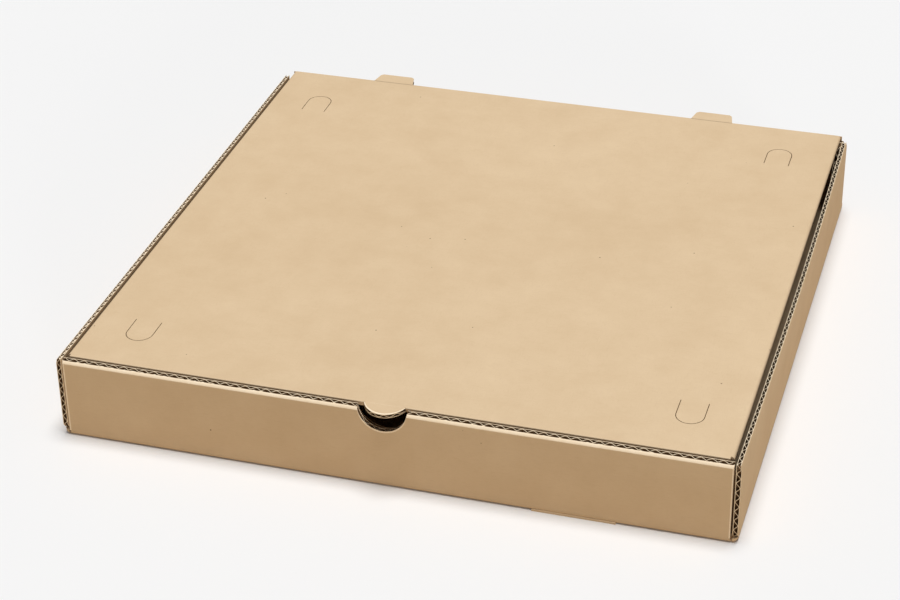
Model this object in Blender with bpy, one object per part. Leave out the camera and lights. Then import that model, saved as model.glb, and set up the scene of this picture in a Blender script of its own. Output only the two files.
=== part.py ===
"""Pizza box: a tray and its hinged lid, folded from one sheet of corrugated board.

The box stands on its floor with the origin at the middle of the floor's underside. X runs
along the front wall, +Y towards the rear crease where the lid hinges, and +Z is up. Panels are
blocks and flat plates joined by unions. The corrugation shows wherever the die cut the board:
each cut edge has a row of triangular flute cells between its two liners.
"""

import math

import bmesh
import bpy
from mathutils import Matrix, Vector

# The board: thickness, then shares of it for a liner, the fluted medium and one flute's pitch
BOARD = 0.0032
LINER_SHARE = 0.11
MEDIUM_SHARE = 0.094
FLUTE_PITCH_SHARE = 2.0
FLUTE_DEPTH = 0.012
SHORT_FLUTE_DEPTH = 0.006
RIM_FLUTE_DEPTH = 0.004

# The tray's outer sizes
BOX_WIDTH = 0.412
BOX_DEPTH = 0.406
WALL_HEIGHT = 0.0537

# Folds: outer radii and how far a panel is let into the next, as shares of the board
TRAY_FOLD_SHARE = 0.81
LID_FOLD_SHARE = 0.56
TAB_FOLD_SHARE = 0.56
WALL_ROOT_SHARE = 0.125
FLAP_ROOT_SHARE = 0.25
TAB_BITE_SHARE = 0.16
FOLD_SEGMENTS = 3
FOLD_PROFILE_SHARE = 0.5

# The side walls: set back at the rear, and the right one bows out along its rim
SIDE_WALL_REAR_SETBACK = 0.007
SIDE_WALL_BOW = 0.002
BOW_ARC_SHARE = 0.83
BOW_STATIONS = 10

# The slits between the side walls and the ends of the front and back walls
END_GAP = 0.00085
END_SLIT_FLOOR_SHARE = 0.3

# The front wall's outer top edge, pressed round
EASE_IN_SHARE = 0.22
EASE_DOWN = 0.0024
EASE_STEPS = 3

# The half-moon finger notch in the front wall, and the opening behind it in the lid's flap
NOTCH_X = -0.0013
NOTCH_RADIUS = 0.0155
NOTCH_SEGMENTS = 48
FLAP_OPENING_MARGIN = 0.001

# The tabs that fold back from the ends of the front and back walls, glued to the side walls
CORNER_TAB_REACH = 0.038
CORNER_TAB_FOOT = 0.001
CORNER_TAB_HEAD_DROP = 0.0057
CORNER_TAB_SLOPE_RUN = 0.022
CORNER_TAB_KNEE_SHARE = 0.49
CORNER_TAB_END_SHARE = 0.42
CORNER_TAB_CORNER = 0.004
GLUE_INSET = 0.008
GLUE_LENGTH = 0.022
GLUE_LOW_SHARE = 0.1
GLUE_HIGH_SHARE = 0.38
GLUE_BITE = 0.0003

# The small lip of the floor panel under the front wall
FLOOR_LIP_CENTRE_SHARE = 0.54
FLOOR_LIP_WIDTH = 0.0495
FLOOR_LIP_REACH = 0.0005
FLOOR_LIP_THICKNESS = 0.0012
FLOOR_LIP_LENGTH = 0.006

# The lid
LID_PROUD = 0.0005
LID_GAP_LEFT = 0.0004
LID_GAP_RIGHT = 0.0022
LID_GAP_FRONT = 0.0011
SEAT_GAP = 0.0003

# The lid's tuck flaps: how far up from the floor they end, as a share of the wall's height
FRONT_FLAP_FOOT_SHARE = 0.15
FRONT_FLAP_LEAN = 0.003
FRONT_FLAP_END_CLEARANCE = 0.001
FRONT_FLAP_TAPER = 0.006
FRONT_FLAP_CORNER = 0.004
SIDE_FLAP_FOOT_SHARE = 0.5
SIDE_FLAP_CLEARANCE = 0.0045

# The tongue over the notch
TONGUE_HALF_WIDTH = 0.01245
TONGUE_REACH = 0.0086
TONGUE_STEPS = 16

# The tabs in the lid's plane that stick out behind the rear crease: their places are shares
# of the half width of the box
REAR_TAB_CENTRE_SHARES = (-0.606, 0.533)
REAR_TAB_REACH = 0.0115
REAR_TAB_HALF_BASE = 0.0146
REAR_TAB_HALF_TIP = 0.0117
REAR_TAB_CORNER = 0.0018
REAR_SLOT_CLEARANCE = 0.0008

# The U-shaped slits of the lid: centre line half width, length, kerf, and the distances of
# their middles from the box's left and right sides and of their arcs from the nearest fold
SLIT_HALF_WIDTH = 0.0083
SLIT_LENGTH = 0.0228
SLIT_KERF = 0.0005
SLIT_STEPS = 12
FRONT_SLIT_INSETS = (0.0375, 0.0373)
REAR_SLIT_INSETS = (0.0392, 0.0416)
FRONT_SLIT_TO_FOLD = 0.0263
REAR_SLIT_TO_FOLD = 0.0335

# How far a cutter runs past the face that it cuts, and the weld of a plate's coincident points
OVERRUN = 0.002
WELD = 0.00002

# Kraft paper
KRAFT_COLOUR = (0.56, 0.41, 0.25, 1.0)
KRAFT_ROUGHNESS = 0.85

# Sizes and places worked out from those above
LINER = BOARD * LINER_SHARE
MEDIUM = BOARD * MEDIUM_SHARE
FLUTE_PITCH = BOARD * FLUTE_PITCH_SHARE
FLUTE_HEIGHT = BOARD - 2 * LINER
EASE_IN = BOARD * EASE_IN_SHARE
TAB_BITE = BOARD * TAB_BITE_SHARE
FRONT = -BOX_DEPTH / 2
BACK = BOX_DEPTH / 2
FRONT_INNER = FRONT + BOARD
BACK_INNER = BACK - BOARD
SIDE = BOX_WIDTH / 2
SIDE_INNER = SIDE - BOARD
SIDE_WALL_REAR = BACK - SIDE_WALL_REAR_SETBACK
WALL_END = SIDE_INNER - END_GAP
WALL_ROOT = BOARD * (1 - WALL_ROOT_SHARE)
END_SLIT_FLOOR = BOARD * END_SLIT_FLOOR_SHARE
CORNER_TAB_INNER = WALL_END - BOARD
CORNER_TAB_LOW = BOARD + CORNER_TAB_FOOT
CORNER_TAB_HEAD = WALL_HEIGHT - CORNER_TAB_HEAD_DROP
CORNER_TAB_HEIGHT = CORNER_TAB_HEAD - CORNER_TAB_LOW
CORNER_TAB_KNEE = CORNER_TAB_LOW + CORNER_TAB_HEIGHT * CORNER_TAB_KNEE_SHARE
CORNER_TAB_END = CORNER_TAB_LOW + CORNER_TAB_HEIGHT * CORNER_TAB_END_SHARE
LID_TOP = WALL_HEIGHT + LID_PROUD
LID_UNDER = LID_TOP - BOARD
LID_LEFT = -SIDE_INNER + LID_GAP_LEFT
LID_RIGHT = SIDE_INNER - LID_GAP_RIGHT
LID_FRONT = FRONT_INNER + LID_GAP_FRONT
FLAP_ROOT = LID_UNDER + BOARD * FLAP_ROOT_SHARE
FRONT_FLAP_BOTTOM = WALL_HEIGHT * FRONT_FLAP_FOOT_SHARE
SIDE_FLAP_BOTTOM = WALL_HEIGHT * SIDE_FLAP_FOOT_SHARE
BACK_WALL_TOP = LID_UNDER - SEAT_GAP
HINGE = Vector((0.0, BACK, LID_TOP))
REAR_TAB_CENTRES = [SIDE * share for share in REAR_TAB_CENTRE_SHARES]
REAR_SLOT_HALF = REAR_TAB_HALF_BASE + REAR_SLOT_CLEARANCE
REAR_SLOT_FLOOR = LID_TOP - math.hypot(REAR_TAB_REACH, BOARD) - REAR_SLOT_CLEARANCE
FRONT_SLIT_CENTRES = (FRONT_SLIT_INSETS[0] - SIDE, SIDE - FRONT_SLIT_INSETS[1])
REAR_SLIT_CENTRES = (REAR_SLIT_INSETS[0] - SIDE, SIDE - REAR_SLIT_INSETS[1])

X_AXIS = Vector((1.0, 0.0, 0.0))
Y_AXIS = Vector((0.0, 1.0, 0.0))
Z_AXIS = Vector((0.0, 0.0, 1.0))

# A triangular prism made with radius 1: half the width of its base, and its height
UNIT_HALF_WIDTH = math.sin(math.tau / 3)
UNIT_HEIGHT = 1 - math.cos(math.tau / 3)

# Planes that a flat outline can be drawn in: where its own X, Y and Z axes point
FLAT_XY = Matrix.Identity(3)
FLAT_YZ = Matrix((Y_AXIS, Z_AXIS, X_AXIS)).transposed()
FLAT_XZ = Matrix((X_AXIS, Z_AXIS, -Y_AXIS)).transposed()


def clear_scene():
    """Removes every object that the file opens with."""
    for item in list(bpy.data.objects):
        bpy.data.objects.remove(item)


def add_object(name, mesh, collection, helper=True):
    """Puts a mesh in the scene. A helper is drawn as wire and left out of renders."""
    item = bpy.data.objects.new(name, mesh)
    collection.objects.link(item)
    if helper:
        item.hide_render = True
        item.display_type = "WIRE"
    return item


def mesh_from(name, bm):
    """Turns an edit mesh into mesh data with its faces pointing out."""
    bmesh.ops.recalc_face_normals(bm, faces=bm.faces)
    mesh = bpy.data.meshes.new(name)
    bm.to_mesh(mesh)
    bm.free()
    return mesh


def block_bmesh(low, high):
    """An edit mesh of the block between two opposite corners."""
    low, high = Vector(low), Vector(high)
    bm = bmesh.new()
    bmesh.ops.create_cube(bm, size=1)
    bmesh.ops.scale(bm, vec=high - low, verts=bm.verts)
    bmesh.ops.translate(bm, vec=(low + high) / 2, verts=bm.verts)
    return bm


def block(name, low, high, collection):
    """A helper block between two opposite corners."""
    return add_object(name, mesh_from(name, block_bmesh(low, high)), collection)


def round_edges(bm, edges, radius):
    """Rounds the given edges of an edit mesh."""
    bmesh.ops.bevel(
        bm, geom=edges, offset=radius, offset_type="OFFSET",
        segments=FOLD_SEGMENTS, profile=FOLD_PROFILE_SHARE, affect="EDGES",
    )


def plate(name, outline, plane, offset, thickness, collection):
    """A flat plate: the outline in the given plane, extruded from offset by thickness."""
    curve = bpy.data.curves.new(name, "CURVE")
    curve.dimensions = "2D"
    curve.fill_mode = "BOTH"
    curve.extrude = thickness / 2
    spline = curve.splines.new("POLY")
    spline.points.add(len(outline) - 1)
    for point, (across, up) in zip(spline.points, outline):
        point.co = (across, up, 0, 1)
    spline.use_cyclic_u = True
    drawn = bpy.data.objects.new(name, curve)
    collection.objects.link(drawn)
    bpy.context.view_layer.update()
    evaluated = drawn.evaluated_get(bpy.context.evaluated_depsgraph_get())
    mesh = bpy.data.meshes.new_from_object(evaluated)
    bpy.data.objects.remove(drawn)
    bm = bmesh.new()
    bm.from_mesh(mesh)
    bpy.data.meshes.remove(mesh)
    bmesh.ops.remove_doubles(bm, verts=bm.verts, dist=WELD)
    bmesh.ops.translate(bm, vec=Z_AXIS * (offset + thickness / 2), verts=bm.verts)
    bmesh.ops.transform(bm, matrix=plane.to_4x4(), verts=bm.verts)
    return add_object(name, mesh_from(name, bm), collection)


def boolean(target, operand, operation):
    """Joins to or cuts from the target an object, or all the objects of a collection."""
    modifier = target.modifiers.new(f"{operation.title()} {operand.name}", "BOOLEAN")
    modifier.operation = operation
    modifier.solver = "EXACT"
    if isinstance(operand, bpy.types.Collection):
        modifier.operand_type = "COLLECTION"
        modifier.collection = operand
    else:
        modifier.object = operand


def child_collection(name, parent):
    """A new collection inside another."""
    collection = bpy.data.collections.new(name)
    parent.children.link(collection)
    return collection


def kraft_material(name):
    """Plain brown kraft paper."""
    material = bpy.data.materials.new(name)
    material.use_nodes = True
    shader = material.node_tree.nodes["Principled BSDF"]
    shader.inputs["Base Color"].default_value = KRAFT_COLOUR
    shader.inputs["Roughness"].default_value = KRAFT_ROUGHNESS
    shader.inputs["Metallic"].default_value = 0.0
    return material


def wall_bow(side, y, z):
    """How far a side wall leans out at a place. Only the right one does, most at its rim."""
    if side < 0:
        return 0.0
    share = (y - FRONT) / (SIDE_WALL_REAR - FRONT)
    rise = (z - WALL_ROOT) / (WALL_HEIGHT - WALL_ROOT)
    return SIDE_WALL_BOW * rise * math.sin(math.pi * BOW_ARC_SHARE * share)


def flute_cell(bm, base, along, through, out, height, length):
    """One flute cell: a triangular prism from past the cut edge, running into the board.

    base is the middle of the triangle's base at the cut edge, along runs along the edge,
    through points from the base to the apex, and out points out of the board.
    """
    if along.cross(through).dot(out) < 0:
        along = -along
    slope = math.atan2(height, FLUTE_PITCH / 2)
    half_width = FLUTE_PITCH / 2 - MEDIUM / math.sin(slope) / 2
    cell_height = height * half_width / (FLUTE_PITCH / 2)
    middle = base + through * cell_height / 3 + out * (OVERRUN - length) / 2
    turn = Matrix((along, through, out)).transposed().to_4x4()
    size = Matrix.Diagonal((half_width / UNIT_HALF_WIDTH, cell_height / UNIT_HEIGHT, length + OVERRUN, 1))
    bmesh.ops.create_cone(
        bm, cap_ends=True, segments=3, radius1=1, radius2=1, depth=1,
        matrix=Matrix.Translation(middle) @ turn @ size,
    )


def flute_row(bm, span, along, through, out, liner, depth, drop=None, height=FLUTE_HEIGHT):
    """Flute cells along a cut edge, their apexes pointing to and fro between the liners.

    span is the (start, end) of the edge along its direction. liner(place) is the point of the
    row's outermost line on the face that through points away from, and drop(place) how far
    the cut edge lies back from that line there.
    """
    start, end = span
    count = int((end - start - 2 * LINER) / FLUTE_PITCH)
    first = (start + end) / 2 - (count - 1) * FLUTE_PITCH / 2
    for step in range(2 * count - 1):
        place = first + step * FLUTE_PITCH / 2
        base = liner(place) + through * LINER
        length = depth + (drop(place) if drop else 0.0)
        if step % 2:
            flute_cell(bm, base + through * height, along, -through, out, height, length)
        else:
            flute_cell(bm, base, along, through, out, height, length)


def floor_mesh():
    """The floor panel, with its four bottom edges rounded where the walls fold up."""
    bm = block_bmesh((-SIDE, FRONT, 0), (SIDE, BACK, BOARD))
    low = [edge for edge in bm.edges if all(vert.co.z < BOARD / 2 for vert in edge.verts)]
    round_edges(bm, low, BOARD * TRAY_FOLD_SHARE)
    return mesh_from("tray", bm)


def side_wall(name, side, collection):
    """A side wall, upright from the floor, cut into stations where it bows."""
    faces = sorted((side * SIDE_INNER, side * SIDE))
    bm = block_bmesh((faces[0], FRONT, WALL_ROOT), (faces[1], SIDE_WALL_REAR, WALL_HEIGHT))
    if side > 0:
        for station in range(1, BOW_STATIONS):
            place = FRONT + (SIDE_WALL_REAR - FRONT) * station / BOW_STATIONS
            everything = bm.verts[:] + bm.edges[:] + bm.faces[:]
            bmesh.ops.bisect_plane(bm, geom=everything, plane_co=Y_AXIS * place, plane_no=Y_AXIS)
    for vert in bm.verts:
        vert.co.x += wall_bow(side, vert.co.y, vert.co.z)
    return add_object(name, mesh_from(name, bm), collection)


def end_wall_bmesh(outer, inner, top):
    """The front or back wall, its outer upright edges rounded where the corner tabs fold."""
    low_y, high_y = sorted((outer, inner))
    bm = block_bmesh((-WALL_END, low_y, WALL_ROOT), (WALL_END, high_y, top))
    upright = [
        edge for edge in bm.edges
        if all(math.isclose(vert.co.y, outer, abs_tol=WELD) for vert in edge.verts)
        and abs(edge.verts[0].co.z - edge.verts[1].co.z) > BOARD
    ]
    round_edges(bm, upright, BOARD * TAB_FOLD_SHARE)
    return bm


def front_wall(collection):
    """The front wall, with its outer top edge pressed round."""
    bm = end_wall_bmesh(FRONT, FRONT_INNER, WALL_HEIGHT)
    ease_start = WALL_HEIGHT - EASE_DOWN
    for step in range(EASE_STEPS):
        height = ease_start + EASE_DOWN * math.sin(math.tau / 4 * step / EASE_STEPS)
        everything = bm.verts[:] + bm.edges[:] + bm.faces[:]
        bmesh.ops.bisect_plane(bm, geom=everything, plane_co=Z_AXIS * height, plane_no=Z_AXIS)
    for vert in bm.verts:
        rise = max(0.0, vert.co.z - ease_start) / EASE_DOWN
        inwards = EASE_IN * (1 - math.sqrt(max(0.0, 1 - rise**2)))
        vert.co.y += inwards * (FRONT_INNER - vert.co.y) / BOARD
    return add_object("front_wall_panel", mesh_from("front_wall_panel", bm), collection)


def corner_tab(name, side, wall_inner, inward, collection):
    """A tab folded back from a wall's end, inside the side wall, and the glue that holds it.

    wall_inner is the inner face of the wall that it folds from, and inward the way into the box.
    """
    root = wall_inner - inward * TAB_BITE
    tip = wall_inner + inward * CORNER_TAB_REACH
    outline = [
        (root, CORNER_TAB_LOW),
        (tip - inward * CORNER_TAB_CORNER, CORNER_TAB_LOW),
        (tip, CORNER_TAB_LOW + CORNER_TAB_CORNER),
        (tip, CORNER_TAB_END),
        (wall_inner + inward * CORNER_TAB_SLOPE_RUN, CORNER_TAB_KNEE),
        (wall_inner, CORNER_TAB_HEAD),
        (root, CORNER_TAB_HEAD),
    ]
    edges = sorted((side * CORNER_TAB_INNER, side * WALL_END))
    plate(name, outline, FLAT_YZ, edges[0], BOARD, collection)
    near = wall_inner + inward * GLUE_INSET
    far = near + inward * GLUE_LENGTH
    glue_z = [CORNER_TAB_LOW + CORNER_TAB_HEIGHT * share for share in (GLUE_LOW_SHARE, GLUE_HIGH_SHARE)]
    bite = GLUE_BITE + wall_bow(side, far, glue_z[1])
    glue_x = sorted((side * (WALL_END - GLUE_BITE), side * (SIDE_INNER + bite)))
    low, high = zip(glue_x, sorted((near, far)), glue_z)
    block(f"{name}_glue", low, high, collection)


def tab_drop(distance):
    """How far a corner tab's upper edge has fallen at a distance from the wall it folds from."""
    return (CORNER_TAB_HEAD - CORNER_TAB_KNEE) * distance / CORNER_TAB_SLOPE_RUN


def notch_drop(x):
    """How far below the front wall's rim the finger notch reaches at x."""
    return math.sqrt(max(0.0, NOTCH_RADIUS**2 - (x - NOTCH_X) ** 2))


def tray_cuts(collection):
    """The finger notch, the slots for the lid's rear tabs, and the slits at the wall ends."""
    bm = bmesh.new()
    turn = Matrix.Rotation(math.tau / 4, 4, "X")
    middle = Matrix.Translation((NOTCH_X, (FRONT + FRONT_INNER) / 2, WALL_HEIGHT))
    bmesh.ops.create_cone(
        bm, cap_ends=True, segments=NOTCH_SEGMENTS, radius1=NOTCH_RADIUS, radius2=NOTCH_RADIUS,
        depth=BOARD + 2 * OVERRUN, matrix=middle @ turn,
    )
    add_object("notch_cutter", mesh_from("notch_cutter", bm), collection)
    for number, centre in enumerate(REAR_TAB_CENTRES):
        block(
            f"rear_slot_cutter_{number}",
            (centre - REAR_SLOT_HALF, BACK_INNER - OVERRUN, REAR_SLOT_FLOOR),
            (centre + REAR_SLOT_HALF, BACK + OVERRUN, LID_TOP),
            collection,
        )
    for side in (-1, 1):
        edges = sorted((side * WALL_END, side * SIDE_INNER))
        block(
            f"end_slit_cutter_{side + 1}",
            (edges[0], FRONT - OVERRUN, END_SLIT_FLOOR),
            (edges[1], FRONT_INNER, CORNER_TAB_LOW),
            collection,
        )


def side_wall_flutes(bm, side):
    """The flute cells of a side wall's rim and of its two upright ends."""
    through = X_AXIS * side
    flute_row(
        bm, (FRONT, SIDE_WALL_REAR), Y_AXIS, through, Z_AXIS,
        lambda y: Vector((side * SIDE_INNER + wall_bow(side, y, WALL_HEIGHT), y, WALL_HEIGHT)),
        RIM_FLUTE_DEPTH,
    )
    for end, out in ((FRONT, -Y_AXIS), (SIDE_WALL_REAR, Y_AXIS)):
        flute_row(
            bm, (BOARD, WALL_HEIGHT - RIM_FLUTE_DEPTH), Z_AXIS, through, out,
            lambda z, end=end: Vector((side * SIDE_INNER + wall_bow(side, end, z), end, z)),
            SHORT_FLUTE_DEPTH,
        )


def corner_tab_flutes(bm, side, wall_inner, inward):
    """The flute cells of a corner tab's slanted upper edge."""
    span = sorted((wall_inner, wall_inner + inward * CORNER_TAB_SLOPE_RUN))
    flute_row(
        bm, span, Y_AXIS, X_AXIS * side, Z_AXIS,
        lambda y: Vector((side * CORNER_TAB_INNER, y, CORNER_TAB_HEAD)),
        SHORT_FLUTE_DEPTH, drop=lambda y: tab_drop(abs(y - wall_inner)),
    )


def tray_flutes(collection):
    """Every flute cell of the tray: wall rims, wall ends, notch, slots and corner tabs."""
    bm = bmesh.new()
    flute_row(
        bm, (-WALL_END, WALL_END), X_AXIS, -Y_AXIS, Z_AXIS,
        lambda x: Vector((x, FRONT_INNER, WALL_HEIGHT)),
        FLUTE_DEPTH, drop=notch_drop, height=FLUTE_HEIGHT - EASE_IN,
    )
    for centre in REAR_TAB_CENTRES:
        flute_row(
            bm, (centre - REAR_SLOT_HALF, centre + REAR_SLOT_HALF), X_AXIS, Y_AXIS, Z_AXIS,
            lambda x: Vector((x, BACK_INNER, REAR_SLOT_FLOOR)),
            FLUTE_DEPTH,
        )
    for side in (-1, 1):
        side_wall_flutes(bm, side)
        corner_tab_flutes(bm, side, FRONT_INNER, 1)
        corner_tab_flutes(bm, side, BACK_INNER, -1)
    return add_object("tray_flute_cutter", mesh_from("tray_flute_cutter", bm), collection)


def build_tray(parts, helpers):
    """The tray: floor, four walls, corner tabs, then its cuts and flutes."""
    panels = child_collection("tray_panels", helpers)
    cuts = child_collection("tray_cuts", helpers)
    tray = add_object("tray", floor_mesh(), parts, helper=False)
    side_wall("left_wall_panel", -1, panels)
    side_wall("right_wall_panel", 1, panels)
    front_wall(panels)
    back_wall = end_wall_bmesh(BACK, BACK_INNER, BACK_WALL_TOP)
    add_object("back_wall_panel", mesh_from("back_wall_panel", back_wall), panels)
    for side, side_name in ((-1, "left"), (1, "right")):
        corner_tab(f"front_{side_name}_tab", side, FRONT_INNER, 1, panels)
        corner_tab(f"rear_{side_name}_tab", side, BACK_INNER, -1, panels)
    lip_centre = SIDE * FLOOR_LIP_CENTRE_SHARE
    block(
        "floor_lip",
        (lip_centre - FLOOR_LIP_WIDTH / 2, FRONT - FLOOR_LIP_REACH, 0),
        (lip_centre + FLOOR_LIP_WIDTH / 2, FRONT + FLOOR_LIP_LENGTH, FLOOR_LIP_THICKNESS),
        panels,
    )
    boolean(tray, panels, "UNION")
    tray_cuts(cuts)
    boolean(tray, cuts, "DIFFERENCE")
    boolean(tray, tray_flutes(helpers), "DIFFERENCE")
    tray.data.materials.append(kraft_material("tray_board"))


def tongue_reach(x):
    """How far the tongue sticks out in front of the lid's fold at x."""
    radius = (TONGUE_HALF_WIDTH**2 + TONGUE_REACH**2) / (2 * TONGUE_REACH)
    return math.sqrt(max(0.0, radius**2 - (x - NOTCH_X) ** 2)) - (radius - TONGUE_REACH)


def tongue_outline():
    """The tongue's outline: a segment of a circle, let into the top panel at its root."""
    points = []
    for step in range(TONGUE_STEPS + 1):
        x = NOTCH_X - TONGUE_HALF_WIDTH * math.cos(math.pi * step / TONGUE_STEPS)
        points.append((x, LID_FRONT - tongue_reach(x)))
    points.append((NOTCH_X + TONGUE_HALF_WIDTH, LID_FRONT + BOARD))
    points.append((NOTCH_X - TONGUE_HALF_WIDTH, LID_FRONT + BOARD))
    return points


def rear_tab_outline(centre):
    """A rear tab's outline: a low trapezoid with clipped corners, let into the top panel."""
    tip = BACK + REAR_TAB_REACH
    half = [
        (REAR_TAB_HALF_BASE, BACK - BOARD),
        (REAR_TAB_HALF_BASE, BACK),
        (REAR_TAB_HALF_TIP + REAR_TAB_CORNER / 2, tip - REAR_TAB_CORNER),
        (REAR_TAB_HALF_TIP - REAR_TAB_CORNER / 2, tip),
    ]
    right = [(centre + x, y) for x, y in half]
    left = [(centre - x, y) for x, y in reversed(half)]
    return right + left


def slit_outline(centre, end, heading):
    """A U-shaped kerf. Its legs start at end and run the way of heading to their arc."""
    outer = SLIT_HALF_WIDTH + SLIT_KERF / 2
    inner = SLIT_HALF_WIDTH - SLIT_KERF / 2
    arc_centre = end + heading * (SLIT_LENGTH - SLIT_HALF_WIDTH)
    turns = [math.pi * step / SLIT_STEPS for step in range(SLIT_STEPS + 1)]
    points = [(centre + outer, end)]
    points += [(centre + outer * math.cos(a), arc_centre + heading * outer * math.sin(a)) for a in turns]
    points += [(centre - outer, end), (centre - inner, end)]
    points += [(centre - inner * math.cos(a), arc_centre + heading * inner * math.sin(a)) for a in turns]
    points += [(centre + inner, end)]
    return points


def top_panel_mesh():
    """The lid's top panel, with its upper edges rounded where the flaps and back wall fold."""
    bm = block_bmesh((LID_LEFT, LID_FRONT, LID_UNDER), (LID_RIGHT, BACK, LID_TOP))
    middle = (LID_UNDER + LID_TOP) / 2
    top = [edge for edge in bm.edges if all(vert.co.z > middle for vert in edge.verts)]
    round_edges(bm, top, BOARD * LID_FOLD_SHARE)
    return mesh_from("lid", bm)


def front_flap_ends():
    """The x of the front flap's two ends, clear of the corner tabs and of the side flaps."""
    left = max(LID_LEFT + BOARD, -CORNER_TAB_INNER) + FRONT_FLAP_END_CLEARANCE
    right = min(LID_RIGHT - BOARD, CORNER_TAB_INNER) - FRONT_FLAP_END_CLEARANCE
    return left, right


def flap_lean(z):
    """How far the front flap has leaned into the box at a height."""
    return FRONT_FLAP_LEAN * max(0.0, LID_UNDER - z) / (LID_UNDER - FRONT_FLAP_BOTTOM)


def front_flap(panels, cuts):
    """The flap that tucks behind the front wall, leaning in, with its finger opening."""
    left, right = front_flap_ends()
    outline = [
        (left, FLAP_ROOT),
        (left + FRONT_FLAP_TAPER, FRONT_FLAP_BOTTOM + FRONT_FLAP_CORNER),
        (left + FRONT_FLAP_TAPER + FRONT_FLAP_CORNER, FRONT_FLAP_BOTTOM),
        (right - FRONT_FLAP_TAPER - FRONT_FLAP_CORNER, FRONT_FLAP_BOTTOM),
        (right - FRONT_FLAP_TAPER, FRONT_FLAP_BOTTOM + FRONT_FLAP_CORNER),
        (right, FLAP_ROOT),
    ]
    flap = plate("front_flap_panel", outline, FLAT_XZ, -LID_FRONT - BOARD, BOARD, panels)
    for vert in flap.data.vertices:
        vert.co.y += flap_lean(vert.co.z)
    radius = NOTCH_RADIUS + FLAP_OPENING_MARGIN
    start = math.asin((WALL_HEIGHT - LID_UNDER) / radius)
    steps = NOTCH_SEGMENTS // 2
    angles = [start + (math.pi - 2 * start) * step / steps for step in range(steps + 1)]
    opening = [(NOTCH_X + radius * math.cos(a), WALL_HEIGHT - radius * math.sin(a)) for a in angles]
    depth = BOARD + FRONT_FLAP_LEAN + 2 * OVERRUN
    plate("flap_opening_cutter", opening, FLAT_XZ, -LID_FRONT + OVERRUN - depth, depth, cuts)


def side_flap_end(z):
    """Distance of a side flap's slanted end from the wall's inner face, clear of the tab."""
    run = CORNER_TAB_SLOPE_RUN / (CORNER_TAB_HEAD - CORNER_TAB_KNEE)
    return (CORNER_TAB_HEAD - z) * run + SIDE_FLAP_CLEARANCE


def side_flap(name, low_x, panels):
    """A side flap, hanging straight down inside the side wall."""
    near = side_flap_end(LID_UNDER)
    far = side_flap_end(SIDE_FLAP_BOTTOM)
    outline = [
        (FRONT_INNER + near, FLAP_ROOT),
        (FRONT_INNER + near, LID_UNDER),
        (FRONT_INNER + far, SIDE_FLAP_BOTTOM),
        (BACK_INNER - far, SIDE_FLAP_BOTTOM),
        (BACK_INNER - near, LID_UNDER),
        (BACK_INNER - near, FLAP_ROOT),
    ]
    plate(name, outline, FLAT_YZ, low_x, BOARD, panels)


def side_flap_flutes(bm, low_x, wall_inner, inward):
    """The flute cells of one slanted end of a side flap."""
    nearest = wall_inner + inward * side_flap_end(LID_UNDER)
    flute_row(
        bm, (SIDE_FLAP_BOTTOM, LID_UNDER), Z_AXIS, X_AXIS, -Y_AXIS * inward,
        lambda z: Vector((low_x, nearest, z)),
        SHORT_FLUTE_DEPTH, drop=lambda z: side_flap_end(z) - side_flap_end(LID_UNDER),
    )


def lid_flutes(collection):
    """Every flute cell of the lid: tongue, rear tabs, front flap's edge and side flaps' ends."""
    bm = bmesh.new()
    flute_row(
        bm, (NOTCH_X - TONGUE_HALF_WIDTH, NOTCH_X + TONGUE_HALF_WIDTH), X_AXIS, Z_AXIS, -Y_AXIS,
        lambda x: Vector((x, LID_FRONT - TONGUE_REACH, LID_UNDER)),
        SHORT_FLUTE_DEPTH, drop=lambda x: TONGUE_REACH - tongue_reach(x),
    )
    for centre in REAR_TAB_CENTRES:
        flute_row(
            bm, (centre - REAR_TAB_HALF_TIP, centre + REAR_TAB_HALF_TIP), X_AXIS, Z_AXIS, Y_AXIS,
            lambda x: Vector((x, BACK + REAR_TAB_REACH, LID_UNDER)),
            SHORT_FLUTE_DEPTH,
        )
    left, right = front_flap_ends()
    inset = FRONT_FLAP_TAPER + FRONT_FLAP_CORNER
    down = Vector((0.0, FRONT_FLAP_LEAN, FRONT_FLAP_BOTTOM - LID_UNDER)).normalized()
    edge_y = LID_FRONT + FRONT_FLAP_LEAN
    flute_row(
        bm, (left + inset, right - inset), X_AXIS, Y_AXIS, down,
        lambda x: Vector((x, edge_y, FRONT_FLAP_BOTTOM)),
        FLUTE_DEPTH,
    )
    for low_x in (LID_LEFT, LID_RIGHT - BOARD):
        side_flap_flutes(bm, low_x, FRONT_INNER, 1)
        side_flap_flutes(bm, low_x, BACK_INNER, -1)
    return add_object("lid_flute_cutter", mesh_from("lid_flute_cutter", bm), collection)


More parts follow.
